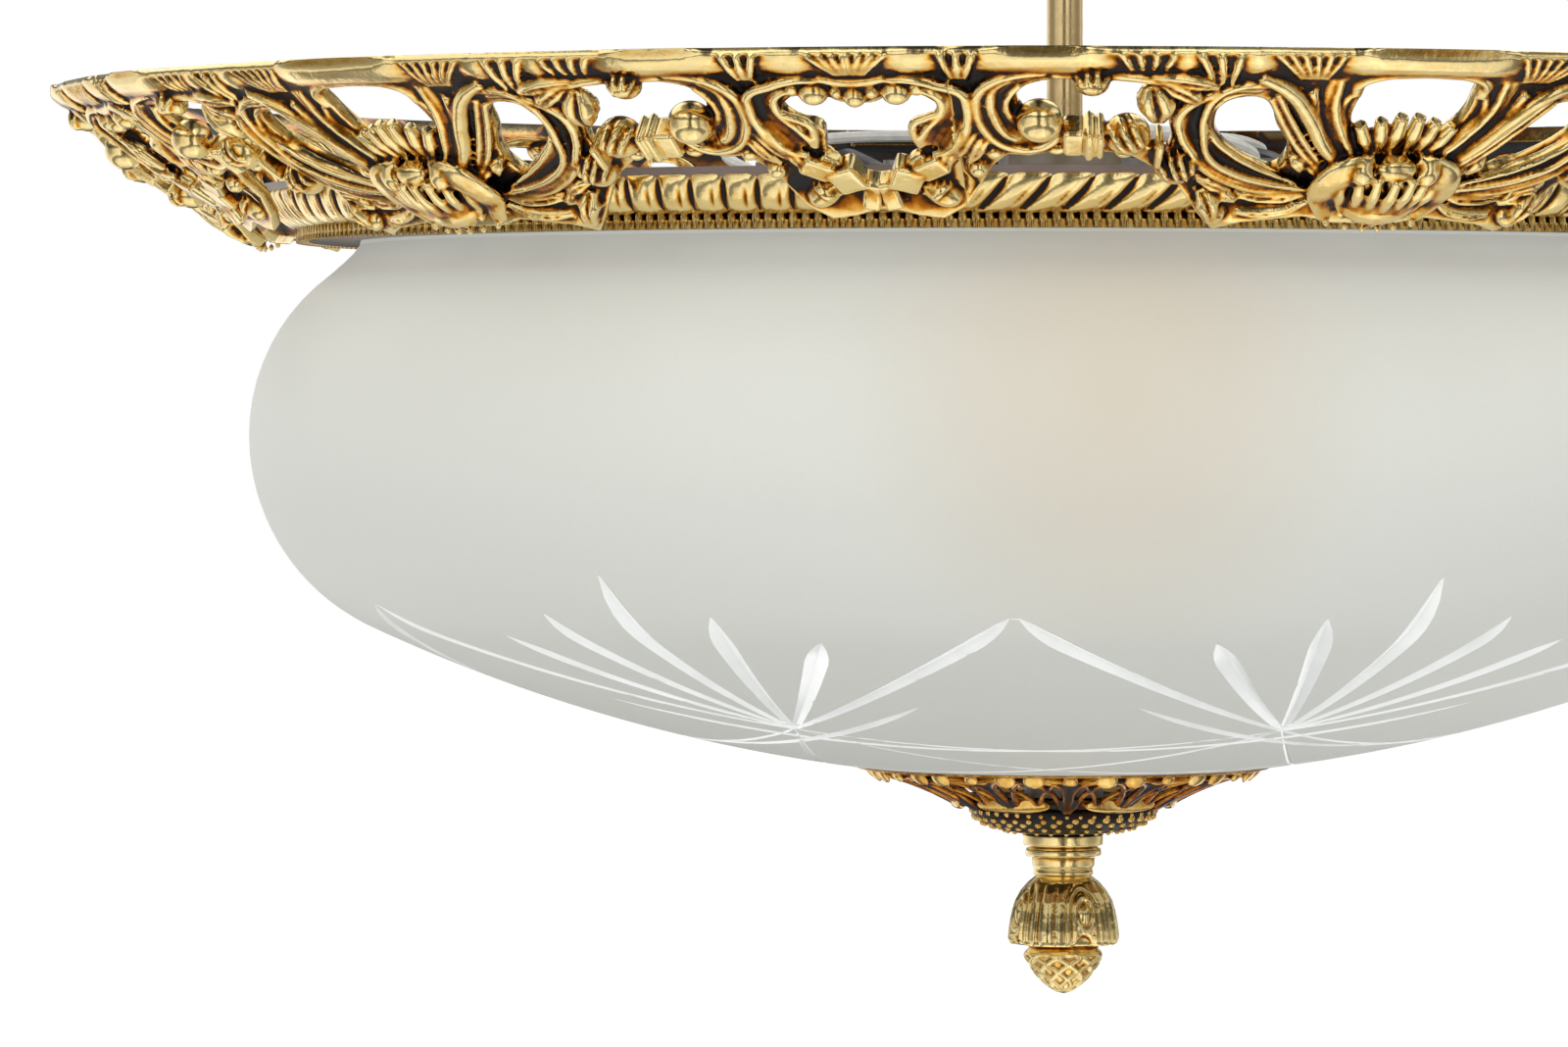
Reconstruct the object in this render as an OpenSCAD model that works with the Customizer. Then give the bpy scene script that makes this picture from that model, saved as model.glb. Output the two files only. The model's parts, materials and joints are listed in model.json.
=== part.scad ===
// Ceiling light: a frosted cut-glass bowl in a cast brass crown, hung on a tube.
// Millimetres, +Z up. The origin is the centre of the ceiling face, and the lamp hangs below it.

/* [Overall] */
// Drop from the ceiling to the top of the crown's rim
rim_drop = 120; // [105:1:300]
// How far the crown's rim flares out from the knurled ring
rim_flare = 67; // [62:0.5:72]
// Height of the crown's rim above the ring's lower edge
rim_rise = 41.5; // [36:0.5:48]
// Turn of the first flower about the lamp's axis, from the front
crown_turn = 19; // [0:1:60]

/* [Ring] */
// How far the knurled ring stands out from the glass neck
ring_margin = 18; // [15:0.5:20]
// Height of the knurled ring
knurl_h = 3.3; // [2.5:0.1:4]
// Thickness of the knurled ring
knurl_t = 3.5; // [2.5:0.1:4]
// Depth of the knurled ring's teeth
tooth_depth = 0.9; // [0.5:0.1:1.5]
// Number of teeth on the knurled ring
tooth_count = 396; // [120:2:400]
// How far the smooth band spreads out from the knurled ring
band_spread = 11; // [9:0.5:12]
// Height of the smooth band's top edge above the ring's lower edge
band_rise = 15; // [13:0.5:16]
// Height of the rope moulding up the band
rope_h = 8.7; // [7:0.1:9]
// How far the rope moulding stands off the band
rope_bulge = 2.8; // [1.5:0.1:2.8]
// Gap between the glass neck and the gallery's riser
neck_gap = 2; // [1:0.1:3]
// Wall of the spun gallery
gallery_t = 1.2; // [0.8:0.1:2]
// Height of the glass seat above the ring's lower edge
seat_rise = 7.5; // [6:0.5:9]
// Width of the glass seat
seat_w = 12; // [9:0.5:16]
// Thickness of the glass seat's gasket
gasket_t = 1.5; // [1:0.1:2.5]

/* [Crown castings] */
// Thickness of the openwork plate
plate_t = 5; // [3:0.5:7]
// Radial reach of the openwork plate, from its rim to its lower edge
plate_reach = 42; // [38:0.5:44]
// Height of the plate's lower edge above the ring's lower edge
plate_foot_rise = 10; // [8:0.5:12]
// Width of the plain band under the rim
rim_band = 9; // [7:0.5:11]
// Width of the window above each flower
flower_window_w = 35; // [31:0.5:37]
// Width of the window under each shell
shell_window_w = 38; // [34:0.5:40]
// Height of the window under each shell
shell_window_h = 25; // [21:0.5:27]
// Width of the arched windows
arch_w = 39; // [35:0.5:41]
// Width of the slanted ovals
oval_w = 16; // [13:0.5:18]
// Length of the slanted ovals
oval_l = 31; // [27:0.5:33]
// Height of the ovals' middle above the plate's lower edge
oval_up = 20; // [19:0.5:22]
// Height of the plate's plain edge under the arched windows
free_edge = 8.5; // [7.5:0.5:9.5]
// Drop of the castings' feet below the plate
foot_drop = 7; // [6:0.5:8]
// How far the feet lean in below the plate
foot_in = 3; // [2:0.5:4]
// Diameter of the flower's boss
flower_d = 28; // [22:1:32]
// How far the flower's boss stands off the plate
flower_h = 9; // [6:0.5:12]
// Diameter of the shell on the rim
shell_d = 22; // [16:1:26]
// Diameter of the rolled scroll ball
scroll_ball_d = 13; // [9:0.5:15]
// Diameter of the hanging buds
bud_d = 8; // [6:0.5:9]
// Gap between neighbouring castings
casting_gap = 0.2; // [0.1:0.1:0.5]

/* [Glass bowl] */
// Largest diameter of the bowl
bowl_d = 449.4; // [440:0.1:456]
// Depth of the widest place below the ring's lower edge
belly_drop = 52.9; // [48:0.1:58]
// Depth of the bowl's bottom below the ring's lower edge
bowl_drop = 148; // [138:0.5:170]
// Radius of the shoulder above the widest place
shoulder_r = 54.5; // [50:0.5:58]
// Radius of the side below the widest place
side_r = 58; // [50:0.5:64]
// How far the neck is set in from the bowl's widest place
neck_inset = 30.7; // [27:0.1:34]
// Thickness of the glass
glass_t = 4.5; // [3:0.1:6]
// Diameter of the hole in the bowl's bottom
bowl_hole_d = 12; // [10:0.5:16]

/* [Bottom cap and finial] */
// Diameter of the bottom cap
cap_d = 114; // [100:1:130]
// Depth of the cap's dish
cap_depth = 8.6; // [7:0.2:12]
// Thickness of the cap
cap_t = 2; // [1.5:0.1:3]
// Diameter of the cap's waist, where the boss sits
waist_d = 51.6; // [44:0.2:60]
// Openings around the cap
cap_count = 12; // [6:1:16]
// Diameter of the coin studs on the cap's rim
coin_d = 8; // [5:0.5:9]
// Web between the cap's openings
cap_web = 5; // [3:0.5:7]
// Height of the beaded boss
boss_h = 8; // [6:0.5:12]
// Diameter of the beads on the boss
bead_d = 3.2; // [2:0.1:4]
// Largest diameter of the turned neck
spool_d = 22.2; // [19:0.2:24]
// Height of the turned neck
spool_h = 11.5; // [9:0.5:15]
// Largest diameter of the acorn
acorn_d = 30.4; // [24:0.2:34]
// Height of the acorn's cup
cup_h = 19.5; // [16:0.5:24]
// Height of the acorn's nut below its cup
nut_h = 13.5; // [10:0.5:18]

/* [Rods] */
// Outer diameter of the hanging tube
tube_d = 10; // [10:0.5:12]
// Bore of the hanging tube
tube_bore = 7; // [6.5:0.1:7.5]
// Diameter of the threaded rod through the bowl
stay_d = 6; // [5:0.5:8]
// Length of the stay that the acorn screws onto
stay_grip = 14; // [10:0.5:16]
// Outer diameter of the supply cable in the tube
cable_d = 5; // [4:0.1:6]
// Outer diameter of the leads to the lampholders
lead_d = 3.2; // [2.4:0.1:3.6]
// Bend radius of the supply cable over the tube's end
cable_bend = 9; // [7:0.5:10]

/* [Spider] */
// Width of the spider's arms
arm_w = 28; // [20:1:32]
// Thickness of the spider
arm_t = 2.5; // [2:0.1:4]
// Height of the spider's top above the ring's lower edge
spider_rise = 20; // [17:0.5:24]
// Diameter of the spider's hub
hub_plate_d = 46; // [40:1:60]
// Gap between the spider's legs and the gallery's wall
leg_gap = 1.3; // [1:0.1:2]
// Length of the foot that each arm stands on
foot_l = 8; // [6.5:0.5:8]
// Diameter of the foot screws
foot_screw_d = 4; // [3:0.1:4.5]
// Width across the hub nut
hub_nut_w = 32; // [24:1:36]
// Height of the hub nut
hub_nut_h = 7; // [5:0.5:9]
// Diameter of the coupling that joins the tube to the stay
coupling_d = 18; // [16:0.5:22]
// Height of the coupling
coupling_h = 26; // [22:0.5:34]
// Web between the coupling's two bores
coupling_web = 3; // [2:0.5:5]
// Height of the screw heads
screw_head_h = 2.2; // [1.5:0.1:2.6]

/* [Lampholders] */
// Sideways distance from an arm's middle to its lamp
lamp_side = 50; // [48:0.5:60]
// Distance along an arm from the lamp's axis to the lampholder's end
lamp_back = 48.8; // [45:0.2:60]
// Height of the lampholder's end above the ring's lower edge
lamp_rise = 10.8; // [9:0.2:13]
// Tilt of the lamps below level
lamp_tilt = 23; // [15:1:30]
// Outer diameter of the lampholder
holder_d = 39; // [34:0.5:42]
// Length of the lampholder
holder_l = 50; // [40:0.5:55]
// Depth of the lampholder's socket
socket_l = 30; // [27:0.5:35]
// Diameter of the lamp bracket's nipple
nipple_d = 10; // [8:0.5:12]
// Thickness of the lamp brackets
bracket_t = 2; // [1.5:0.1:3]
// Width of the lamp brackets
lamp_bracket_w = 16; // [12:0.5:20]
// Diameter of the lamp bracket screws
bracket_screw_d = 4; // [3:0.1:5]

/* [Bulbs] */
// Diameter of a bulb's glass
bulb_d = 55; // [45:0.5:56]
// Length of a bulb's glass, from its cap
bulb_l = 73; // [65:0.5:80]
// Diameter of a bulb's screw cap
bulb_cap_d = 26.4; // [24:0.1:26.8]
// Length of a bulb's screw cap
bulb_cap_l = 27; // [22:0.5:28]

/* [Ceiling fitting] */
// Length of the ceiling strap
strap_l = 110; // [100:1:112]
// Width of the ceiling strap
strap_w = 25; // [20:0.5:26]
// Thickness of the ceiling strap
strap_t = 2; // [1.5:0.1:2.5]
// Depth of the strap's raised middle below the ceiling
strap_depth = 28; // [26:0.5:30]
// Length of the strap's raised middle
strap_mid_l = 60; // [58:0.5:64]
// Width of the tab that holds the terminal block
tab_w = 30; // [26:1:40]
// Reach of that tab from the strap
tab_l = 22; // [20:1:26]
// Width of the tab that holds the earth screw
earth_tab_w = 16; // [12:1:20]
// Reach of that tab from the strap
earth_tab_l = 12; // [10:1:15]
// Length of the terminal block
block_l = 24; // [20:1:28]
// Width of the terminal block
block_w = 14; // [12:1:16]
// Height of the terminal block
block_h = 10; // [8:0.5:11]
// Bore of each terminal
terminal_d = 4; // [3:0.1:5]
// Distance between the ceiling slots
slot_spacing = 86; // [84:0.5:88]
// Length of the ceiling slots
slot_l = 12; // [8:0.5:12]
// Width of the ceiling slots
slot_w = 5.5; // [4:0.1:6]
// Distance between the canopy studs
stud_spacing = 44; // [42:0.5:50]
// Diameter of the canopy studs
stud_d = 4; // [3:0.1:5]
// Diameter of the canopy
canopy_d = 120; // [118:1:140]
// Height of the canopy
canopy_h = 42; // [41:0.5:50]
// Wall of the canopy
canopy_t = 1.2; // [0.8:0.1:1.5]
// Diameter of the canopy's cap nuts
cap_nut_d = 10; // [8:0.5:12]
// Height of the canopy's cap nuts
cap_nut_h = 9; // [8:0.5:12]
// Blind end of the canopy's cap nuts
cap_nut_end = 3; // [2:0.5:4]
// Width across the tube's lock nuts
lock_nut_w = 17; // [15:0.5:18]
// Height of the tube's lock nuts
lock_nut_h = 5; // [4:0.5:6]
// How far the tube stands above its top nut
tube_stand = 2; // [1:0.5:3]
// Thickness of the tube's washers
washer_t = 1.2; // [0.8:0.1:1.6]

/* [Fits] */
// Gap between bodies that move apart
play = 0.3; // [0.2:0.05:0.5]
// Running clearance round a shaft that turns
run_fit = 0.06; // [0.03:0.01:0.09]
// Clearance round a screw or tube in its hole
hole_fit = 0.2; // [0.1:0.05:0.4]

/* [Hidden] */
$fn = 96;
round_fn = 24;

// Levels. Names that end in _z are heights in the part's frame.
ring_z = -rim_drop - rim_rise;
neck_d = bowl_d - 2 * neck_inset;
ring_d = neck_d + 2 * ring_margin;
rim_d = ring_d + 2 * rim_flare;
crown_count = 6;
turn_deg = 360 / crown_count;
front_deg = -90;
lamp_count = 3;

// Ring
ring_r = ring_d / 2;
wall_r = ring_r - knurl_t;
band_r = ring_r + band_spread;
neck_r = neck_d / 2;
riser_r = neck_r + neck_gap;
seat_in_r = riser_r - seat_w;
wall_slope = atan2(band_rise - knurl_h, band_r - wall_r);
wall_shift = gallery_t / sin(wall_slope);
rope_end = [wall_r + rope_h / tan(wall_slope), knurl_h + rope_h];

// Openwork plate: its outer face runs from the rim down to its lower edge
rim_r = rim_d / 2;
plate_slope = atan2(rim_rise - plate_foot_rise, plate_reach);
plate_l = plate_reach / cos(plate_slope);
function on_plate(s, h = 0) = [rim_r - s * cos(plate_slope) + h * sin(plate_slope),
    rim_rise - s * sin(plate_slope) - h * cos(plate_slope)];

// Bowl: the bottom is an arc that runs smoothly into the side
bowl_r = bowl_d / 2;
side_c = [bowl_r - side_r, -belly_drop];
shoulder_c = [bowl_r - shoulder_r, -belly_drop];
belly_h = bowl_drop - belly_drop;
base_r = (side_c[0] * side_c[0] + belly_h * belly_h - side_r * side_r) / (2 * (belly_h - side_r));
base_c = [0, base_r - bowl_drop];
join_deg = atan2(side_c[1] - base_c[1], side_c[0]);
glass_top = seat_rise - gasket_t - play;
bowl_hole_r = bowl_hole_d / 2;

// Bottom cap and finial, below the ring
grommet_t = 2;
cap_rim_low = base_r - sqrt(base_r * base_r - cap_d * cap_d / 4) - bowl_drop;
cap_plate_top = cap_rim_low - cap_depth;
cap_under = cap_plate_top - cap_t;
waist_r = waist_d / 2;
boss_under = cap_under - boss_h;
spool_top = boss_under - play;
spool_under = spool_top - spool_h;
cup_under = spool_under - cup_h;
acorn_tip = cup_under - nut_h;
stay_r = stay_d / 2;
stay_under = spool_under - stay_grip;

// Tube and spider
tube_r = tube_d / 2;
tube_top_z = -strap_depth + strap_t + washer_t + lock_nut_h + tube_stand;
spider_z = ring_z + spider_rise;
tube_under_z = spider_z - arm_t - (coupling_h - coupling_web) / 2;
leg_r = wall_r - gallery_t - leg_gap;
foot_screw_x = leg_r - arm_t - (foot_l - arm_t) / 2;
arm_screw_x = lamp_back + 6;
lead_rise = spider_rise + hub_nut_h + lead_d / 2 + 2;
cable_r = cable_d / 2;

// Lamps, in the frame of one arm: x along the arm, y to the lamp's side
holder_r = holder_d / 2;
lamp_level_z = ring_z + lamp_rise;
flange_half = 13;

// Ceiling fitting
canopy_face_z = -canopy_h - play;
stud_under_z = canopy_face_z - cap_nut_h + cap_nut_end;
earth_y = (strap_w + earth_tab_l) / 2;
block_y = (strap_w + tab_l) / 2;

function arc(c, r, a0, a1, n) = [for (i = [0:n]) let (a = a0 + (a1 - a0) * i / n)
    [c[0] + r * cos(a), c[1] + r * sin(a)]];

// Points of a smooth curve through p, with n steps on each stretch
function spline(p, n) = [for (i = [0:len(p) - 2], j = [0:n - 1])
    let (a = p[max(i - 1, 0)], b = p[i], c = p[i + 1], d = p[min(i + 2, len(p) - 1)], t = j / n)
    0.5 * (2 * b + (c - a) * t + (2 * a - 5 * b + 4 * c - d) * t * t
    + (3 * b - a - 3 * c + d) * t * t * t)];

function unit(v) = v / norm(v);

// A round tube along a route, with square ends
module tube_along(route, r, sides = 8) {
    count = len(route);
    dirs = [for (i = [0:count - 1])
        unit(route[min(i + 1, count - 1)] - route[max(i - 1, 0)])];
    rings = [for (i = [0:count - 1], k = [0:sides - 1])
        let (side = unit(cross(dirs[i], [0.02, 0.03, 1])), up = cross(side, dirs[i]))
        route[i] + r * (cos(360 * k / sides) * side + sin(360 * k / sides) * up)];
    walls = [for (i = [0:count - 2], k = [0:sides - 1])
        let (a = i * sides + k, b = i * sides + (k + 1) % sides)
        [a, b, b + sides, a + sides]];
    halves = [for (w = walls, h = [0, 1]) h == 0 ? [w[0], w[1], w[2]] : [w[0], w[2], w[3]]];
    last = (count - 1) * sides;
    start_cap = [for (k = [1:sides - 2]) [0, k + 1, k]];
    end_cap = [for (k = [1:sides - 2]) [last, last + k, last + k + 1]];
    polyhedron(points = rings, faces = concat(halves, start_cap, end_cap));
}

module disc(r, low, high) {
    translate([0, 0, low])
        cylinder(r = r, h = high - low);
}

module ring_disc(r, bore, low, high) {
    difference() {
        disc(r, low, high);
        disc(bore, low - 1, high + 1);
    }
}

module at_ring() {
    translate([0, 0, ring_z])
        children();
}

module each_arm() {
    for (i = [0:lamp_count - 1])
        rotate(front_deg + i * 360 / lamp_count)
            children();
}

module on_arm(i) {
    rotate(front_deg + (i - 1) * 360 / lamp_count)
        children();
}

module each_stud() {
    for (side = [-1, 1])
        translate([side * stud_spacing / 2, 0, 0])
            children();
}

// Ceiling strap: two feet on the ceiling, a lowered middle, and a tab each way
module ceiling_bracket() {
    foot_x = (strap_l - strap_mid_l) / 2;
    color("silver")
    difference() {
        union() {
            for (side = [-1, 1]) {
                translate([side * (strap_l - foot_x) / 2, 0, -strap_t / 2])
                    cube([foot_x, strap_w, strap_t], center = true);
                translate([side * (strap_mid_l / 2 - strap_t / 2), 0, -strap_depth / 2])
                    cube([strap_t, strap_w, strap_depth], center = true);
            }
            translate([0, 0, -strap_depth + strap_t / 2])
                cube([strap_mid_l, strap_w, strap_t], center = true);
            translate([0, block_y, -strap_depth + strap_t / 2])
                cube([tab_w, tab_l, strap_t], center = true);
            translate([0, -earth_y, -strap_depth + strap_t / 2])
                cube([earth_tab_w, earth_tab_l, strap_t], center = true);
        }
        disc(tube_r + hole_fit, -strap_depth - 1, 1);
        each_stud()
            disc(stud_d / 2 + hole_fit, -strap_depth - 1, -strap_depth + strap_t + 1);
        translate([0, -earth_y, 0])
            disc(stud_d / 2 + hole_fit, -strap_depth - 1, -strap_depth + strap_t + 1);
        for (side = [-1, 1], end = [-1, 1])
            translate([side * slot_spacing / 2 + end * (slot_l - slot_w) / 2, 0, 0])
                disc(slot_w / 2, -strap_t - 1, 1);
        for (side = [-1, 1])
            translate([side * slot_spacing / 2, 0, 0])
                cube([slot_l - slot_w, slot_w, 3 * strap_t], center = true);
    }
}

module screw(d, head_h, low, high) {
    disc(d / 2, low, high);
    disc(d * 0.9, high, high + head_h);
}

module canopy_studs() {
    color("silver")
    each_stud()
        screw(stud_d, screw_head_h, stud_under_z, -strap_depth + strap_t);
}

module earth_screw() {
    color("seagreen")
    translate([0, -earth_y, 0])
        screw(stud_d, screw_head_h, -strap_depth - 2 * strap_t, -strap_depth + strap_t);
}

module terminal_block() {
    low = -strap_depth + strap_t;
    color("ivory")
    difference() {
        translate([-block_l / 2, block_y - block_w / 2, low])
            cube([block_l, block_w, block_h]);
        for (side = [-1, 1])
            translate([side * block_l * 0.31, block_y, low + block_h])
                disc(terminal_d / 2, -block_h / 2, 1);
    }
}

// Suspension tube, with a side hole for each lamp's lead
module tube() {
    color("khaki")
    difference() {
        disc(tube_r, tube_under_z, tube_top_z);
        disc(tube_bore / 2, tube_under_z - 1, tube_top_z + 1);
        each_arm()
            translate([0, 0, ring_z + lead_rise])
                rotate([0, 90, 0])
                    cylinder(d = lead_d + 2 * hole_fit, h = tube_d);
    }
}

module lock_nut(low) {
    translate([0, 0, low])
        difference() {
            cylinder(d = lock_nut_w / cos(30), h = lock_nut_h, $fn = 6);
            disc(tube_r + run_fit, -1, lock_nut_h + 1);
        }
}

module lock_nuts() {
    color("silver") {
        lock_nut(-strap_depth + strap_t + washer_t);
        lock_nut(-strap_depth - washer_t - lock_nut_h);
    }
}

module tube_washers() {
    color("silver") {
        ring_disc(tube_r * 2.1, tube_r + hole_fit, -strap_depth + strap_t,
            -strap_depth + strap_t + washer_t);
        ring_disc(tube_r * 2.1, tube_r + hole_fit, -strap_depth - washer_t, -strap_depth);
    }
}

// Cable up the tube and over to the terminal block
module supply_cable() {
    bend_z = -cable_d - cable_bend;
    run = block_y - 2 * cable_bend;
    block_top = -strap_depth + strap_t + block_h;
    color("dimgray") {
        disc(cable_r, ring_z + lead_rise + lead_d / 2 + play, bend_z);
        translate([0, cable_bend, bend_z])
            rotate([90, 0, -90])
                rotate_extrude(angle = 90)
                    translate([cable_bend, 0])
                        circle(cable_r, $fn = round_fn);
        translate([0, cable_bend, bend_z + cable_bend])
            rotate([-90, 0, 0])
                cylinder(r = cable_r, h = run);
        translate([0, cable_bend + run, bend_z])
            rotate([90, 0, 90])
                rotate_extrude(angle = 90)
                    translate([cable_bend, 0])
                        circle(cable_r, $fn = round_fn);
        translate([0, block_y, 0])
            disc(cable_r, block_top, bend_z);
    }
}

// Three-armed strap that carries the crown on the tube
module spider() {
    low = spider_z - arm_t;
    foot_z = ring_z + gallery_t;
    color("silver")
    difference() {
        union() {
            disc(hub_plate_d / 2, low, spider_z);
            each_arm() {
                translate([0, -arm_w / 2, low])
                    cube([leg_r, arm_w, arm_t]);
                translate([leg_r - arm_t, -arm_w / 2, foot_z])
                    cube([arm_t, arm_w, low - foot_z + 0.5]);
                translate([leg_r - foot_l, -arm_w / 2, foot_z])
                    cube([foot_l, arm_w, arm_t]);
            }
        }
        disc(tube_r + hole_fit, low - 1, spider_z + 1);
        each_arm() {
            translate([arm_screw_x, 0, 0])
                disc(bracket_screw_d / 2 + hole_fit, low - 1, spider_z + 1);
            translate([foot_screw_x, 0, ring_z])
                disc(foot_screw_d / 2 + hole_fit, 0, gallery_t + arm_t + 1);
        }
    }
}
module spider_screws() {
    grip = gallery_t + arm_t;
    head_r = foot_screw_d * 0.62;
    color("silver")
    each_arm()
        translate([foot_screw_x, 0, ring_z])
            difference() {
                union() {
                    disc(foot_screw_d / 2, 0, grip);
                    disc(head_r, grip, grip + screw_head_h);
                }
                translate([0, 0, grip + screw_head_h])
                    cube([2 * head_r + 1, foot_screw_d / 4, screw_head_h], center = true);
            }
}

module hub_nut() {
    color("silver")
    translate([0, 0, spider_z])
        difference() {
            cylinder(d = hub_nut_w / cos(30), h = hub_nut_h, $fn = 6);
            disc(tube_r + run_fit, -1, hub_nut_h + 1);
        }
}

// Coupling: the tube above, the stay below, a web between
module coupling() {
    top = spider_z - arm_t;
    color("silver")
    difference() {
        disc(coupling_d / 2, top - coupling_h, top);
        disc(tube_r + run_fit, tube_under_z, top + 1);
        disc(stay_r + run_fit, top - coupling_h - 1, tube_under_z - coupling_web);
    }
}

module stay_rod() {
    color("silver")
    disc(stay_r, ring_z + stay_under, tube_under_z - coupling_web - play);
}

// Spun gallery: the smooth band, the ledge and the glass seat in one wall
module gallery() {
    color("rosybrown")
    difference() {
        at_ring()
            rotate_extrude()
                polygon([[seat_in_r, seat_rise], [riser_r, seat_rise], [riser_r, 0], [wall_r, 0],
                [wall_r, knurl_h], [band_r, band_rise], [band_r - wall_shift, band_rise],
                [wall_r - gallery_t, knurl_h + (wall_shift - gallery_t) * tan(wall_slope)],
                [wall_r - gallery_t, gallery_t], [riser_r + gallery_t, gallery_t],
                [riser_r + gallery_t, seat_rise + gallery_t], [seat_in_r, seat_rise + gallery_t]]);
        each_arm()
            translate([foot_screw_x, 0, ring_z])
                disc(foot_screw_d / 2 + hole_fit, -1, gallery_t + 1);
    }
}

// Rope moulding on the band's outer face
module rope_ring() {
    a = [wall_r, knurl_h];
    out = [sin(wall_slope), -cos(wall_slope)];
    steps = 10;
    color("goldenrod")
    at_ring()
        rotate_extrude()
            polygon([for (i = [0:steps]) let (t = i / steps)
                a + (rope_end - a) * t + out * 4 * rope_bulge * t * (1 - t)]);
}

// Knurled ring: a toothed strip round the foot of the band
module knurled_ring() {
    color("goldenrod")
    at_ring()
        linear_extrude(knurl_h)
            difference() {
                polygon([for (i = [0:tooth_count - 1], k = [0:3])
                    let (a = 360 * (i + k / 4) / tooth_count,
                        r = k < 2 ? ring_r : ring_r - tooth_depth)
                    [r * cos(a), r * sin(a)]]);
                circle((wall_r + 0.02) / cos(180 / tooth_count), $fn = tooth_count);
            }
}

module glass_gasket() {
    color("gray")
    at_ring()
        ring_disc(neck_r, seat_in_r + gallery_t, seat_rise - gasket_t, seat_rise);
}

// Tangent frame on the plate: x along the rim, y up the slope, z out of the face
module on_face(deg, s, h = 0) {
    p = on_plate(s, h);
    rotate(deg)
        translate([p[0], 0, p[1]])
            rotate([0, 180 - plate_slope, 0])
                rotate(90)
                    children();
}

// Rounded opening of width w and height l through the plate
module opening(deg, s, w, l, lean = 0) {
    n = 20;
    on_face(deg, s)
        rotate(lean)
            linear_extrude(4 * plate_t, center = true)
                polygon([for (i = [0:n - 1]) let (a = 360 * i / n)
                    [w / 2 * sign(cos(a)) * pow(abs(cos(a)), 0.75),
                    l / 2 * sign(sin(a)) * pow(abs(sin(a)), 0.75)]]);
}

// Domed boss of diameter d that stands h off the plate, flat just inside the plate's back
module dome(deg, s, d, h) {
    dome_r = (d * d / 4 + h * h) / (2 * h);
    edge_deg = asin((dome_r - h) / dome_r);
    back = 0.6 - plate_t;
    on_face(deg, s)
        rotate_extrude()
            polygon(concat([[0, back], [d / 2, back]],
                arc([0, h - dome_r], dome_r, edge_deg, 90, 6)));
}

// Bud that hangs down the slope from s, narrow at both ends
module bud(deg, s, d, l) {
    on_face(deg, s, -plate_t / 2)
        rotate([90, 0, 0])
            rotate_extrude()
                polygon([[0, -1], [d * 0.3, -1], [d * 0.5, l * 0.55], [d * 0.38, l * 0.85], [0, l]]);
}

// Plate and feet of one sector, before its openings are cut
module sector_blank(from_deg) {
    seat = rope_end + [2 * play, 0];
    low = on_plate(plate_l);
    sweep = turn_deg - 2 * asin(casting_gap / 2 / rim_r);
    rotate(from_deg)
        rotate_extrude(angle = sweep)
            polygon([on_plate(0), low, low - [foot_in, foot_drop], seat + [3, -4], seat,
                [band_r + play, band_rise], on_plate(plate_l - foot_drop, -plate_t),
                on_plate(0, -plate_t)]);
}

// One casting of the crown, its flower at 0, its shell at half a turn of the pattern,
// and its ends in the scrolls beside the shells. Angles count from the flower.
module casting() {
    half = turn_deg / 2;
    window = 2 * rim_band;
    clear = 2.4 * plate_t;
    edge = 1.8 * plate_t;
    free_in = band_r + plate_t - edge;
    joint_deg = half + 5;
    oval_deg = 8.7;
    oval_lean = 18;
    arch_deg = 17.4;
    free_deg = 11.2;
    ball_deg = 20.4;
    cup_deg = 17.6;
    leaf_deg = 14;
    bead_deg = 2.4;
    difference() {
        sector_blank(joint_deg - turn_deg);
        opening(0, rim_band + window / 2, flower_window_w, window);
        opening(half, rim_band + window, shell_window_w, shell_window_h);
        for (side = [-1, 1]) {
            opening(side * oval_deg, plate_l - oval_up, oval_w, oval_l, side * oval_lean);
            opening(side * arch_deg, rim_band + window / 2, arch_w, window);
            rotate(side * (arch_deg + 0.4) - free_deg / 2)
                rotate_extrude(angle = free_deg)
                    polygon([on_plate(plate_l - free_edge, clear), on_plate(plate_l - free_edge, -edge),
                        [free_in, band_rise + edge - plate_t], [free_in, -clear], [rim_r, -clear]]);
        }
    }
    dome(0, plate_l + 3, flower_d, flower_h);
    dome(0, rim_band + window, flower_d / 2, flower_h / 3);
    dome(half, rim_band + 3, shell_d, 4);
    bud(half, rim_band + 12, bud_d, 10);
    for (side = [-1, 1]) {
        bud(half + side * bead_deg, rim_band + 7, bud_d, 9);
        dome(side * ball_deg, rim_band + window + 1, scroll_ball_d, 4);
        bud(side * cup_deg, rim_band, bud_d, 8);
        bud(side * leaf_deg, rim_band + 3, bud_d, 16);
    }
}

module crown_casting(i) {
    color("gold")
    at_ring()
        rotate(front_deg + crown_turn + (i - 1) * turn_deg)
            casting();
}

// Frame of a lamp: z runs out of the lampholder's mouth, origin at its closed end
module at_lamp(i) {
    on_arm(i)
        translate([lamp_back, lamp_side, lamp_level_z])
            rotate([0, -90 - lamp_tilt, 0])
                children();
}

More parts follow.
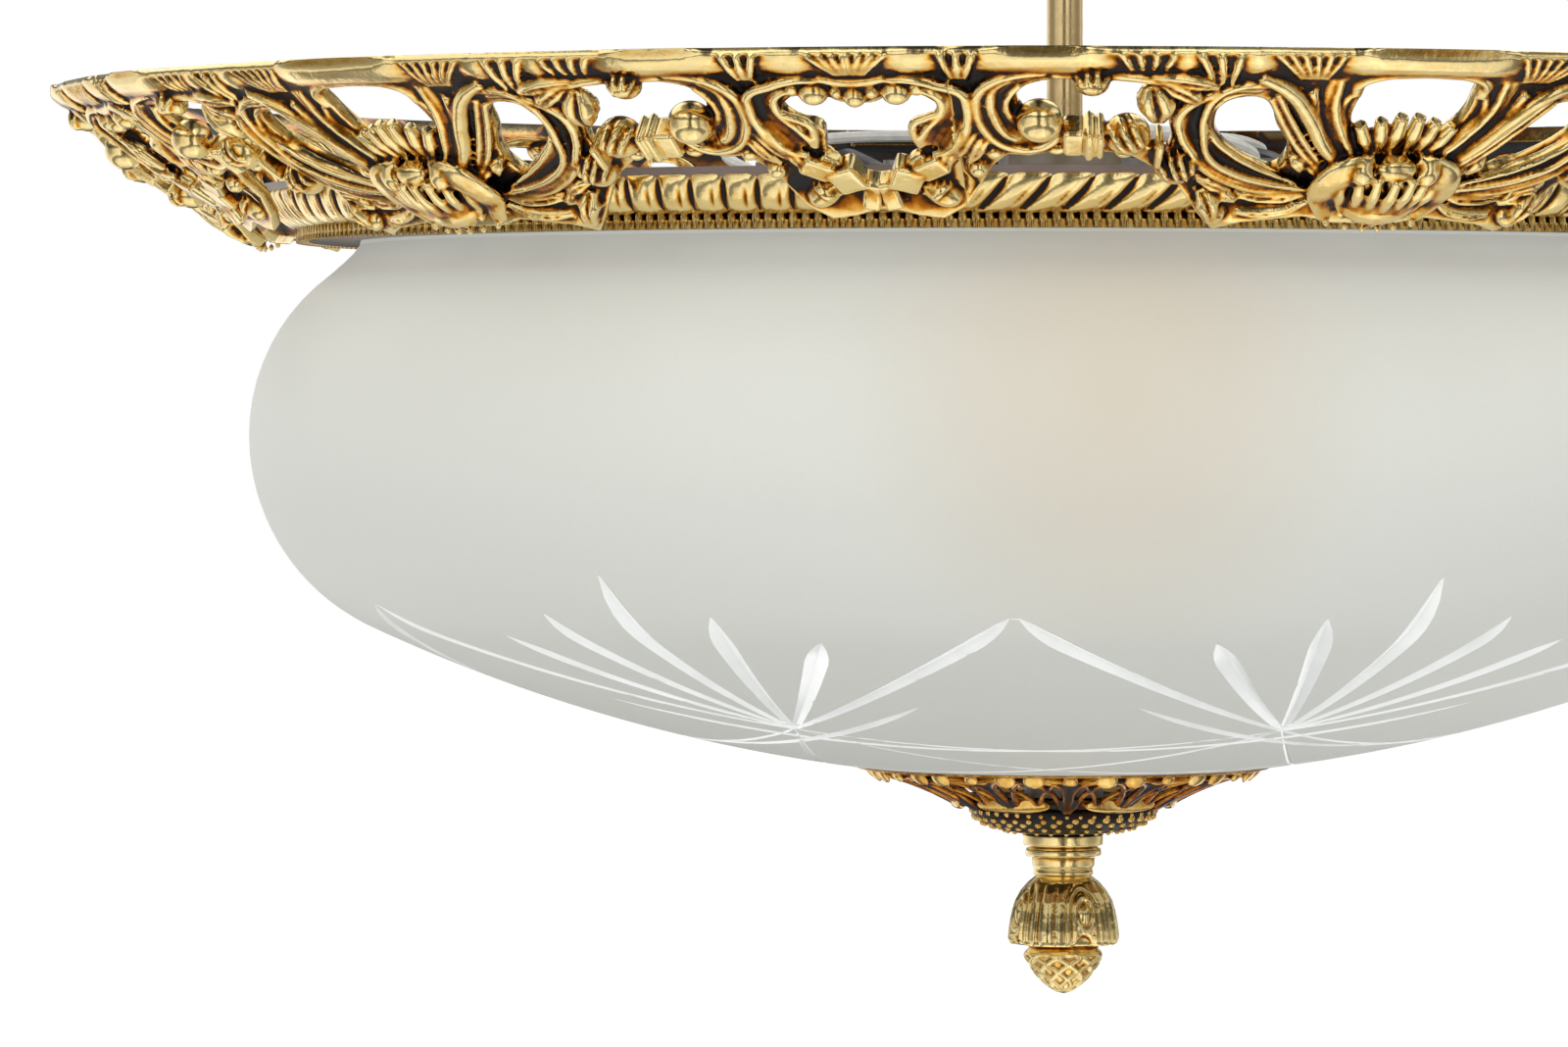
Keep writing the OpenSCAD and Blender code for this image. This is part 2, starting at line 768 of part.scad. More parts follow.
// Angle bracket: a strip on the arm with a flange turned down to the lampholder
module lamp_bracket(i) {
    strip_in = lamp_back - (spider_rise - lamp_rise) * tan(lamp_tilt) + bracket_t * 0.6;
    flange_up = (spider_rise + bracket_t * 0.6 - lamp_rise) / cos(lamp_tilt);
    color("silver")
    difference() {
        union() {
            on_arm(i)
                translate([strip_in, -arm_w / 2, spider_z])
                    cube([lamp_bracket_w, arm_w / 2 + lamp_side + flange_half - 1, bracket_t]);
            at_lamp(i)
                translate([-flange_half, -flange_half, -bracket_t])
                    cube([flange_half + flange_up, 2 * flange_half, bracket_t]);
        }
        on_arm(i)
            translate([arm_screw_x, 0, 0])
                disc(bracket_screw_d / 2 + hole_fit, spider_z - 1, spider_z + bracket_t + 1);
        at_lamp(i)
            disc(nipple_d / 2 + hole_fit, -bracket_t - 1, 1);
    }
}

module bracket_screws() {
    color("silver")
    each_arm()
        translate([arm_screw_x, 0, 0])
            screw(bracket_screw_d, 2.2, spider_z - arm_t - 2.5, spider_z + bracket_t);
}

module lampholder(i) {
    skirt = 2;
    color("black")
    at_lamp(i)
        difference() {
            union() {
                rotate_extrude()
                    polygon([[0, 0], [holder_r - 5, 0], [holder_r - skirt, 3],
                        [holder_r - skirt, holder_l * 0.55], [holder_r, holder_l * 0.58],
                        [holder_r, holder_l], [0, holder_l]]);
                disc(nipple_d / 2, -bracket_t - 5, 0.5);
                translate([0, 0, -bracket_t - 4])
                    cylinder(d = nipple_d * 1.6, h = 4, $fn = 6);
            }
            disc(bulb_cap_d / 2 + run_fit, holder_l - socket_l, holder_l + 1);
            disc(lead_d / 2 + hole_fit, -bracket_t - 6, holder_l - socket_l + 1);
        }
}

// Lead from the tube's side hole, along the arm and into the lampholder's nipple
module lamp_lead(i) {
    back = [cos(lamp_tilt), 0, sin(lamp_tilt)];
    entry = [lamp_back, lamp_side, lamp_rise];
    out = bracket_t + 5;
    route = [[tube_bore / 2 - 0.5, 0, lead_rise], [16, 0, lead_rise], [lamp_back - 14, 2, lead_rise],
        [lamp_back + 12, 10, lead_rise], [lamp_back + 30, 24, lead_rise - 2],
        [lamp_back + 36, lamp_side - 10, lead_rise - 4],
        entry + back * (out + 24), entry + back * (out + 12), entry + back * (out + 2),
        entry + back * 1];
    color("white")
    on_arm(i)
        at_ring()
            tube_along(concat(spline(route, 5), [route[len(route) - 1]]), lead_d / 2);
}

// Bulb: a round glass that runs down to its screw cap
module bulb(i) {
    r = bulb_d / 2;
    base_z = holder_l + 1;
    top_z = base_z + bulb_l - 1;
    c = [0, top_z - r];
    collar_r = bulb_cap_d / 2 - 0.5;
    color("white")
    at_lamp(i)
        rotate_extrude()
            polygon(concat([[0, base_z], [collar_r, base_z], [collar_r + 1.5, base_z + 10]],
                arc(c, r, -38, 90, 14)));
}

module bulb_cap(i) {
    low = holder_l + 1 - bulb_cap_l;
    tip_r = 5;
    color("silver")
    at_lamp(i) {
        disc(bulb_cap_d / 2, low + 3, holder_l + 1);
        translate([0, 0, low])
            cylinder(r1 = tip_r, r2 = bulb_cap_d / 2 - 2, h = 3);
    }
}

// Canopy: a cup with a rounded edge, open to the ceiling
module canopy() {
    r = canopy_d / 2;
    round_r = 12;
    c = [r - round_r, -canopy_h + round_r];
    color("gold")
    difference() {
        translate([0, 0, -play])
            rotate_extrude()
                polygon(concat([[0, -canopy_h]], arc(c, round_r, -90, 0, 8), [[r, 0]],
                    [[r - canopy_t, 0]], arc(c, round_r - canopy_t, 0, -90, 8),
                    [[0, -canopy_h + canopy_t]]));
        disc(tube_r + play, canopy_face_z - 1, canopy_face_z + canopy_t + 1);
        each_stud()
            disc(stud_d / 2 + play, canopy_face_z - 1, canopy_face_z + canopy_t + 1);
    }
}

module canopy_nut(side) {
    dome_r = cap_nut_d / 2;
    top_z = canopy_face_z - play;
    color("gold")
    translate([side * stud_spacing / 2, 0, 0])
        difference() {
            translate([0, 0, top_z - cap_nut_h + dome_r])
                rotate_extrude()
                    polygon(concat([[0, cap_nut_h - dome_r]], arc([0, 0], dome_r, -90, 0, 8),
                        [[dome_r, cap_nut_h - dome_r]]));
            disc(stud_d / 2 + run_fit, stud_under_z - play, top_z + 1);
        }
}

// Bowl: neck, shoulder, side and shallow base in one wall of even thickness
module glass_bowl() {
    shoulder_deg = acos((neck_r - shoulder_c[0]) / shoulder_r);
    inner_deg = acos((neck_r - glass_t - shoulder_c[0]) / (shoulder_r - glass_t));
    hole_deg = -90 + asin(bowl_hole_r / base_r);
    inner_hole_deg = -90 + asin(bowl_hole_r / (base_r - glass_t));
    color([0.86, 0.87, 0.83])
    at_ring()
        rotate_extrude()
            polygon(concat([[neck_r, glass_top]],
                arc(shoulder_c, shoulder_r, shoulder_deg, 0, 10),
                arc(side_c, side_r, -6, join_deg, 10),
                arc(base_c, base_r, join_deg - 3, hole_deg, 8),
                arc(base_c, base_r - glass_t, inner_hole_deg, join_deg - 3, 8),
                arc(side_c, side_r - glass_t, join_deg, -6, 10),
                arc(shoulder_c, shoulder_r - glass_t, 0, inner_deg, 10),
                [[neck_r - glass_t, glass_top]]));
}

module bowl_grommet() {
    color("dimgray")
    at_ring()
        difference() {
            union() {
                disc(bowl_hole_r + 6, -bowl_drop - grommet_t, -bowl_drop);
                disc(bowl_hole_r - hole_fit, -bowl_drop - 1, -bowl_drop + glass_t);
            }
            disc(stay_r + play, -bowl_drop - grommet_t - 1, -bowl_drop + glass_t + 1);
        }
}

module cap_spacer() {
    color("silver")
    at_ring()
        ring_disc(bowl_hole_r + 5, stay_r + play, cap_plate_top, -bowl_drop - grommet_t);
}

// Bottom cap: a shallow openwork dish with coins round its rim
module bottom_cap() {
    r = cap_d / 2;
    steps = 8;
    hole_pcr = (waist_r + r - coin_d) / 2;
    hole_r = min(hole_pcr * sin(180 / cap_count) - cap_web / 2, (r - coin_d - waist_r) / 2 - 1);
    sweep = [for (i = [0:steps]) let (t = i / steps)
        [waist_r + (r - waist_r) * t, cap_plate_top + cap_depth * (1 - pow(1 - t, 1.3))]];
    under = [for (i = [0:steps]) sweep[steps - i] - [0, cap_t]];
    color("goldenrod")
    at_ring()
        difference() {
            union() {
                rotate_extrude()
                    polygon(concat([[0, cap_plate_top]], sweep, under, [[0, cap_under]]));
                for (i = [0:2 * cap_count - 1])
                    rotate(i * 180 / cap_count)
                        translate([r - coin_d / 2 + 1, 0, cap_rim_low - 1.6 * cap_t])
                            cylinder(d = coin_d, h = cap_t, $fn = round_fn);
            }
            disc(stay_r + play, cap_under - 1, cap_plate_top + 1);
            for (i = [0:cap_count - 1])
                rotate((i + 0.5) * 360 / cap_count)
                    translate([hole_pcr, 0, cap_under - 1])
                        cylinder(r = hole_r, h = cap_depth + 2 * cap_t + 3, $fn = round_fn);
        }
}

// Boss: a small dish with a ring of beads
module beaded_boss() {
    edge_r = waist_r - bead_d * 0.7;
    bead_count = floor(2 * PI * (waist_r - bead_d / 2) / bead_d / 1.1);
    color("goldenrod")
    at_ring()
        difference() {
            union() {
                rotate_extrude()
                    polygon([[0, cap_under], [edge_r, cap_under], [edge_r, cap_under - bead_d],
                        [waist_r * 0.72, cap_under - boss_h * 0.6],
                        [spool_d / 2 + 1, boss_under], [0, boss_under]]);
                for (i = [0:bead_count - 1])
                    rotate(i * 360 / bead_count)
                        translate([waist_r - bead_d / 2, 0, cap_under - bead_d * 0.52])
                            sphere(d = bead_d, $fn = round_fn);
            }
            disc(stay_r + play, boss_under - 1, cap_under + 1);
        }
}

module finial_neck() {
    r = spool_d / 2;
    h = spool_h;
    color("gold")
    at_ring()
        translate([0, 0, spool_top])
            difference() {
                rotate_extrude()
                    polygon([[0, 0], [r, 0], [r, -h * 0.34], [r * 0.86, -h * 0.36],
                        [r * 0.95, -h * 0.42], [r * 0.95, -h * 0.56], [r * 0.77, -h * 0.6],
                        [r * 0.7, -h * 0.8], [r * 0.74, -h], [0, -h]]);
                disc(stay_r + run_fit, -h - 1, 1);
            }
}

// Acorn: a rounded cup over a pointed nut, blind-bored for the stay
module acorn_finial() {
    r = acorn_d / 2;
    steps = 8;
    lip = [for (i = [0:steps]) let (t = i / steps)
        [r * (0.53 + 0.47 * sin(90 * t)), spool_under - cup_h * t]];
    point = [for (i = [0:steps]) let (t = i / steps)
        [r * 0.75 * cos(90 * pow(t, 1.25)), cup_under - nut_h * t]];
    color("gold")
    at_ring()
        difference() {
            rotate_extrude()
                polygon(concat([[0, spool_under]], lip, point));
            disc(stay_r + run_fit, stay_under - 1, spool_under + 1);
        }
}

ceiling_bracket();
canopy_studs();
terminal_block();
earth_screw();
tube();
lock_nuts();
tube_washers();
supply_cable();
spider();
spider_screws();
hub_nut();
coupling();
stay_rod();
gallery();
rope_ring();
knurled_ring();
glass_gasket();
crown_casting(1);  // crown_casting_1
crown_casting(2);  // crown_casting_2
crown_casting(3);  // crown_casting_3
crown_casting(4);  // crown_casting_4
crown_casting(5);  // crown_casting_5
crown_casting(6);  // crown_casting_6
lamp_bracket(1);  // lamp_bracket_1
lamp_bracket(2);  // lamp_bracket_2
lamp_bracket(3);  // lamp_bracket_3
bracket_screws();
lampholder(1);  // lampholder_1
lampholder(2);  // lampholder_2
lampholder(3);  // lampholder_3
lamp_lead(1);  // lamp_lead_1
lamp_lead(2);  // lamp_lead_2
lamp_lead(3);  // lamp_lead_3
bulb(1);  // bulb_1
bulb(2);  // bulb_2
bulb(3);  // bulb_3
bulb_cap(1);  // bulb_cap_1
bulb_cap(2);  // bulb_cap_2
bulb_cap(3);  // bulb_cap_3
canopy();
canopy_nut(-1);  // canopy_nut_left
canopy_nut(1);  // canopy_nut_right
glass_bowl();
bowl_grommet();
cap_spacer();
bottom_cap();
beaded_boss();
finial_neck();
acorn_finial();
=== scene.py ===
"""Ceiling light: a frosted cut-glass bowl in a cast crown, dressed round its packed model."""

import json
import math

import bmesh
import bpy
import numpy as np
from bpy.props import FloatProperty, FloatVectorProperty, PointerProperty
from mathutils import Matrix, Vector
from mathutils.geometry import delaunay_2d_cdt


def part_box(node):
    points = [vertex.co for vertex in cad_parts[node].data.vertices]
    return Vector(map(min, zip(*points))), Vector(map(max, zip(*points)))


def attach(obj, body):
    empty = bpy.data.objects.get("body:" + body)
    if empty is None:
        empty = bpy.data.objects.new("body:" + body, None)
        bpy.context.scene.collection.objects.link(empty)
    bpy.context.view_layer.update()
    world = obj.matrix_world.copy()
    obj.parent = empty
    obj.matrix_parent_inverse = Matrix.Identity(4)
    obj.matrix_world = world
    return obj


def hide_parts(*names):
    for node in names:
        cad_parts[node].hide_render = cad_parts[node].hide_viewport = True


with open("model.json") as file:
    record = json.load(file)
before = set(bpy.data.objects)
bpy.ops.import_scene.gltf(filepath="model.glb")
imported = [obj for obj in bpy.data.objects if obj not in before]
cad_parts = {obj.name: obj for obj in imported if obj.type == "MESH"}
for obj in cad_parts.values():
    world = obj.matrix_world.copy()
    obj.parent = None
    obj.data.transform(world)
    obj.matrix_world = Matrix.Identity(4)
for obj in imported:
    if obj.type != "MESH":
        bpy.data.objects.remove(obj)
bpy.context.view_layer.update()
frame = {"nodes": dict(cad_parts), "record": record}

bl_info = {
    "name": "Cut-glass ceiling light",
    "version": (1, 0, 0),
    "blender": (4, 5, 0),
    "location": "View3D > Sidebar > Light",
    "description": "Models the crown, bowl and finial of a ceiling light round its packed frame",
    "category": "Object",
}

MM = 0.001
RING_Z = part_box("knurled_ring")[0].z / MM
CASTINGS = 6
SECTOR = 360 / CASTINGS
FIRST_FLOWER = -71.0
RIM_LIMIT = 278.7
RIM_TOP = 41.6

# Flat pattern of the crown: a in degrees from the flower, w in mm up the slope, h in mm off it.
DEG_MM = 4.45
SLOPE = ((-12, 205.8, -11), (0, 216, -4.8), (11.7, 226, 1.2), (23.9, 233.6, 10.6),
         (79, 279, 41.5), (92, 289.7, 48.8))
FACE_OUT = Vector((0.57, -0.822))
LEAN = 1.5
PLATE_BACK = 3.4
PLATE_FRONT = 0.7

PLATE_EDGE = ((-32, 77), (1, 77), (1, 12), (-2, 12), (-4, 14), (-6, 13), (-8, 12), (-9.6, 9),
              (-10.6, 14), (-11.6, 20), (-12.5, 26), (-13.6, 30), (-15, 35), (-16.5, 37),
              (-18, 37.5), (-19.5, 37.5), (-21, 35.5), (-22.3, 36), (-23.3, 31), (-24, 24),
              (-25, 17), (-26.5, 13), (-28, 14), (-29.5, 16), (-32, 17))
WINDOWS = (
    ((-32, 57), (-29.2, 57), (-28.2, 60), (-27, 60.5), (-26.2, 58.5), (-25.8, 54), (-26.5, 49.5),
     (-27.5, 47.5), (-27.5, 40), (-27.3, 33), (-28.6, 29), (-30, 23), (-32, 25)),
    ((-20.2, 66), (-21.5, 62), (-21.6, 57), (-21.2, 50), (-20.8, 43), (-19.5, 41), (-18, 41),
     (-17, 41.5), (-15.5, 42), (-14.3, 39), (-13.4, 36), (-12.9, 41), (-13.2, 50), (-13, 56),
     (-13.6, 60), (-15, 66), (-17.6, 66.8)),
    ((-9.4, 59.9), (-10.6, 56.8), (-10.9, 50.5), (-10.5, 43), (-9.2, 35.5), (-7.6, 30.5),
     (-6.7, 29), (-6.1, 33), (-6.1, 39), (-7.2, 48.4), (-8.2, 58.4)),
    ((-3.3, 60), (-3.1, 66), (-2.4, 68), (-1, 69), (1.5, 69), (1.5, 44), (-1, 44), (-2.4, 43),
     (-3, 47), (-3.4, 54)),
)

# Strokes of the half pattern: profile, then (a, w as the eye sees it, h, half width) points.
STROKES = (
    # rim band, its lobed edge and the lip over each window
    ("band", (-32, 72.2, -0.3, 4.6), (-30, 72, -0.8, 4.4), (-28.2, 71.8, -1, 4.2)),
    ("band", (-28.3, 72.4, -0.9, 4.4), (-27.4, 72.6, 0.2, 4.8), (-26.2, 72.6, 0.1, 4.8),
     (-25, 72, -1, 4.3)),
    ("band", (-24, 72, -1, 4.3), (-22.6, 72.7, 0.3, 5), (-20, 72.9, 0.8, 5.1),
     (-17.6, 72.7, 0.3, 5), (-16.2, 72, -1, 4.3)),
    ("band", (-13.9, 72, -1, 4.3), (-13, 72.6, 0.1, 4.8), (-12, 72, -0.9, 4.3)),
    ("band", (-16.5, 71.8, -1.2, 4.2), (-8, 71.8, -1.2, 4.2)),
    ("band", (-10.4, 72.2, -0.8, 4.4), (-9.3, 72.6, 0.2, 4.7), (-8.2, 72.2, -0.8, 4.4)),
    ("band", (-8.6, 71.8, -1.2, 4.2), (-4.6, 71.8, -1.2, 4.2)),
    ("band", (-5.1, 72, -1, 4.3), (-3.8, 72.7, 0.4, 5), (-1.8, 72.9, 0.8, 5.1), (0, 72.9, 0.9, 5.1),
     (1.5, 72.8, 0.9, 5.1)),
    ("round", (-31, 65.5, 0.4, 1.5), (-29.4, 65.6, 0.4, 1.4), (-28.2, 66.8, 0.4, 1.1)),
    ("round", (-19.6, 68, 0.2, 1.1), (-17.6, 68.2, 0.2, 1.3), (-15.8, 67.4, 0.4, 1.3),
     (-14.6, 66, 0.8, 1.2), (-13.2, 63.6, 1, 0.8)),
    ("round", (-3.6, 60, 0.3, 0.9), (-3.5, 65, 0.3, 1.1), (-2.6, 68.2, 0.2, 1.2),
     (-1, 69.4, 0.2, 1.2), (1.5, 69.6, 0.2, 1.2)),
    # broad scroll beside the shell
    ("trough", (-27.6, 64.6, 0.5, 1.6), (-26.8, 64.5, 1, 2.4), (-25.7, 62.3, 1.5, 2.9),
     (-24.9, 58, 1.8, 3.1), (-24.8, 53.5, 2, 3.3), (-25.1, 49, 2.4, 4), (-25.6, 44.5, 2.8, 5.2),
     (-26, 40.5, 3, 5.4), (-26.3, 37.6, 2.6, 3.6)),
    ("round", (-28.2, 65.4, 1, 0.7), (-26.9, 65.2, 1.6, 0.9), (-25.6, 62.9, 2.2, 1),
     (-24.4, 59.7, 2.6, 1), (-24.15, 54.3, 2.8, 1), (-24.2, 48.1, 3, 1), (-24.6, 41.1, 3.2, 1),
     (-25.5, 36.4, 3, 1), (-26.4, 34.8, 2.6, 0.8)),
    ("round", (-26.6, 61.4, 1.6, 0.7), (-25.8, 59, 2, 0.8), (-25.5, 55.1, 2.2, 0.8),
     (-25.7, 52, 2.4, 0.8), (-26.3, 50.1, 2.8, 0.8), (-27.1, 47.4, 3.2, 0.9),
     (-27.2, 43, 3.2, 0.9), (-27, 38, 3, 0.8)),
    # scroll that frames the arched window
    ("flat", (-20.6, 67.6, 0.2, 1.8), (-21.9, 66, 0.6, 2.8), (-22.9, 61, 0.9, 3.4),
     (-23, 54, 1.1, 3.6), (-22.6, 46.5, 1.3, 3.6), (-22, 41.5, 1.4, 3.2), (-21.2, 38.5, 1.3, 2.6),
     (-20.3, 38, 1.2, 2.2), (-19.6, 40.5, 1, 1.8)),
    ("round", (-20, 68.1, 1, 0.8), (-21.3, 67.3, 1.4, 0.9), (-22.5, 65.1, 1.8, 1),
     (-23.4, 60.5, 2.2, 1.1), (-23.7, 53.5, 2.4, 1.1), (-23.4, 45.7, 2.4, 1.1),
     (-22.7, 40.2, 2.4, 1.1), (-21.7, 37.5, 2.4, 1.1), (-20.5, 37.5, 2.2, 1),
     (-19.5, 41, 2, 0.9), (-19, 48, 1.6, 0.7)),
    ("round", (-21.8, 65.8, 1.4, 0.9), (-22.7, 62, 1.8, 1), (-22.9, 56.6, 2.2, 1.05),
     (-22.75, 50.4, 2.2, 1.05), (-22.2, 43.4, 2.2, 1), (-21.6, 41, 2, 0.8)),
    ("round", (-21.3, 63.5, 0.8, 0.7), (-21.9, 58.9, 1.3, 0.8), (-22.1, 54.3, 1.4, 0.8),
     (-21.8, 49.4, 1.4, 0.7), (-21.4, 47, 1.2, 0.6)),
    # bud and pointed leaves at the arch's other side
    ("leaf", (-14.5, 63, 1, 2), (-14.3, 58, 2, 3.8), (-14.1, 53.5, 2.6, 4.2), (-14, 49.5, 2.4, 2.6),
     (-14, 48, 2, 1)),
    ("leaf", (-14, 64, 1.5, 1.2), (-13.2, 61, 2.4, 2.5), (-12.4, 58.2, 2.6, 2.4),
     (-11.9, 55.5, 2.2, 0.8)),
    ("leaf", (-14.8, 66, 1.2, 1), (-13.4, 64.9, 2, 2.2), (-12, 63.4, 2.2, 2.2),
     (-11, 61.8, 1.8, 0.8)),
    # the C round the oval window
    ("trough", (-9, 62.5, 0.3, 1.8), (-10.4, 61, 0.6, 2.6), (-11.5, 56, 1, 3.2),
     (-11.9, 48.5, 1.4, 3.6), (-11.4, 40.5, 1.9, 4.2), (-10.2, 33.5, 2.4, 4.6),
     (-8.8, 28.6, 2.6, 4.4), (-7.2, 25, 2.6, 3.4), (-5.6, 22.6, 2.2, 2.2), (-4.3, 21, 1.6, 1)),
    ("round", (-8.7, 62.3, 0.6, 0.8), (-10.5, 61.4, 1.2, 0.9), (-11.9, 57.5, 1.6, 1),
     (-12.8, 51.2, 1.9, 1), (-12.6, 42.7, 2.2, 1.05), (-11.9, 36, 2.5, 1.05),
     (-11.1, 30.1, 2.7, 1.05), (-9.3, 23.8, 2.8, 1), (-7.4, 20.7, 2.6, 1), (-4.2, 20.3, 2.2, 0.8)),
    ("round", (-8.2, 63.6, 0.9, 0.7), (-10, 62.6, 1.5, 0.75), (-11, 58.6, 1.9, 0.75),
     (-11.5, 51.3, 2.4, 0.75), (-11.4, 42.7, 2.8, 0.8), (-10.8, 33.3, 3.1, 0.8),
     (-9.2, 27, 3.2, 0.8), (-7, 23.1, 3, 0.75), (-4.3, 20.8, 2.4, 0.7)),
    # stalks that run down to the flower
    ("round", (-8.9, 67, 0.6, 1.2), (-7.3, 61.5, 1.4, 1.6), (-5.8, 50.8, 2.2, 1.7),
     (-4.5, 39.1, 3, 1.6), (-2.6, 27.3, 3.6, 1.2)),
    ("round", (-8.1, 58.5, 0.8, 0.7), (-6.9, 46.9, 1.4, 0.75), (-5.6, 36.7, 2.2, 0.75),
     (-3.9, 28, 3, 0.7)),
    ("round", (-7.8, 60, 1.1, 0.6), (-6.5, 48, 1.8, 0.65), (-5.2, 37.6, 2.6, 0.65),
     (-3.6, 28.2, 3.2, 0.6)),
    ("round", (-6, 62, 0.8, 1), (-5.3, 50, 1.8, 1.15), (-3.9, 37.6, 2.8, 1.2), (-2.2, 29.8, 3.6, 1)),
    ("flat", (-5, 66.4, 0.4, 1.6), (-4.8, 54.8, 1.2, 2.2), (-3.9, 43.1, 2.2, 2.4),
     (-2.3, 31, 3.2, 1.8)),
    ("round", (-4.6, 66.4, 0.4, 0.7), (-4.5, 54.8, 1.8, 0.8), (-3.6, 43.1, 2.9, 0.8),
     (-2.1, 30.6, 3.8, 0.7)),
    ("round", (-3.7, 62, 0.2, 0.8), (-4.1, 54.7, 0.8, 0.9), (-3.6, 47, 1.5, 0.9),
     (-3, 41, 2.1, 0.8), (-2.3, 36, 2.6, 0.7)),
    # flower: smooth petals over a cluster of small leaves
    ("flat", (-1.2, 32, 4.5, 3), (-2.8, 27.5, 5.8, 5.4), (-3.5, 20, 5.2, 5.2), (-2.9, 12, 3, 2.6)),
    ("flat", (0, 34.5, 3.5, 3.4), (0, 29, 6.8, 5.4), (0, 24, 8.2, 3.6)),
    ("petal", (-1.5, 33, 4, 2), (-1.9, 28, 6.8, 3.2), (-1.9, 23, 8, 2.4)),
    ("petal", (-2.9, 22.5, 7, 1.1), (-2.7, 17, 6.8, 1.7), (-1.9, 10.5, 5, 0.8)),
    ("petal", (-2, 24, 8, 1.2), (-1.8, 17, 8.4, 1.8), (-1.2, 9.2, 5.6, 0.8)),
    ("petal", (-1.05, 24, 9, 1.2), (-0.95, 16, 9.4, 1.7), (-0.6, 8, 6, 0.8)),
    ("petal", (0, 23, 9.6, 1.3), (0, 15, 9.9, 1.8), (0, 7.4, 6.2, 0.9)),
    # small leaves beside the flower and along the rope
    ("leaf", (-6, 35.1, 1.5, 0.9), (-5.6, 31.5, 2.8, 1.9), (-5.1, 27.5, 2.8, 0.8)),
    ("leaf", (-5.1, 32.8, 2, 0.9), (-4.5, 29, 3.4, 1.9), (-3.8, 25.8, 3.2, 0.8)),
    ("leaf", (-10.9, 21, 2, 1.4), (-10.4, 15.5, 3.4, 3.2), (-9.9, 9.6, 2, 0.8)),
    ("leaf", (-11.2, 25, 1.5, 1), (-10.2, 22, 3, 2.2), (-9.1, 19.6, 2.4, 0.9)),
    ("leaf", (-10.6, 21, 1.6, 1), (-9.6, 18.6, 2.8, 2), (-8.6, 16.8, 2, 0.8)),
    ("leaf", (-9, 19.8, 1.4, 1), (-7.4, 18.4, 2.4, 1.9), (-5.8, 17.8, 2.8, 1.7), (-4.4, 19, 3, 0.8)),
    ("leaf", (-8.4, 14.1, 1, 0.9), (-7, 13.2, 2, 1.6), (-5.4, 14, 2.6, 1.5), (-4.2, 16.4, 3, 0.8)),
    # leaves between the two scrolls
    ("leaf", (-23.6, 48, 1.5, 1), (-24.2, 42.5, 3.2, 2), (-24.8, 36.5, 3.4, 1.8),
     (-25.3, 32.5, 2.6, 0.8)),
    ("leaf", (-23.1, 45, 1.5, 0.9), (-23.5, 40, 3.2, 1.8), (-24, 34.5, 3.2, 1.7),
     (-24.5, 31, 2.4, 0.7)),
    ("leaf", (-25.2, 38, 3, 0.9), (-25.6, 33, 3.4, 1.9), (-25.8, 28, 2.6, 0.8)),
)

# Fans of flutes: count, then top from, top to, foot from, foot to as (a, w), half width, h
FLUTES = (
    (4, (-29.9, 75.8), (-28, 75.8), (-29.95, 67.5), (-29.3, 67.5), 0.95, 1.1),
    (3, (-25.25, 75.6), (-23.6, 75.6), (-24.75, 65.5), (-24.1, 65.5), 1.0, 1.4),
    (4, (-16.2, 76), (-13.5, 76), (-15.6, 69), (-13.9, 69), 0.8, 0.9),
    (3, (-12.2, 75.6), (-10.2, 75.4), (-11.3, 64), (-10.4, 64), 1.0, 1.2),
    (6, (-8.3, 75.5), (-4.9, 75.8), (-6.8, 66), (-5.5, 66), 0.72, 1.0),
    (3, (-2.75, 48), (-0.5, 51.5), (-1.7, 36), (-0.5, 38), 2.1, 2.2),
)

# Round forms: a, w as the eye sees it, h, then half sizes along a, w and h, and a turn in degrees
KNOBS = (
    (-30.05, 59.5, 1.4, 3.2, 3.4, 3.2, 0), (-27.8, 60.5, 1.2, 3.6, 3.6, 3.0, 0),
    (-29.1, 61.5, 0.8, 2.0, 2.6, 2.2, 0), (-26.7, 62.5, 0.8, 1.8, 2.6, 2.0, 0),
    (-20.35, 48.5, 2.6, 5.7, 5.7, 5.4, 0), (-17.6, 64.6, 1.2, 4.2, 4.2, 3.4, 0),
    (-15.55, 43, 2.4, 5.8, 5.6, 5.2, -20), (-12.6, 30.5, 1.6, 5.4, 5.4, 4.6, -25),
    (-9.8, 14, 1.0, 3.2, 3.0, 2.4, 0), (-22.9, 37, 1.8, 2.7, 2.8, 2.6, 0),
    (-24, 29.5, 1.4, 2.7, 2.8, 2.6, 0), (-26.4, 20.5, 0.8, 5.8, 3.6, 3, -30),
    (0, 20.5, 3.0, 13.2, 9, 6.8, 0),
    (-0.5, 12, 7.6, 1.1, 1.1, 1.1, 0), (0, 10, 7.2, 1.1, 1.1, 1.1, 0),
    (-1.1, 9.5, 6.4, 1, 1, 1, 0), (-2.2, 11.5, 5.6, 1, 1, 1, 0), (-0.5, 7, 5.6, 1, 1, 1, 0),
    (-1.6, 7.8, 5, 1, 1, 1, 0), (-2.8, 9.4, 4.2, 1, 1, 1, 0), (-15.6, 36.4, 1.4, 2.6, 2, 1.8, 20),
    (-17.4, 36.6, 1.2, 2.4, 2, 1.8, -20), (-19.4, 37.4, 1.2, 2.6, 1.8, 1.6, 10),
)

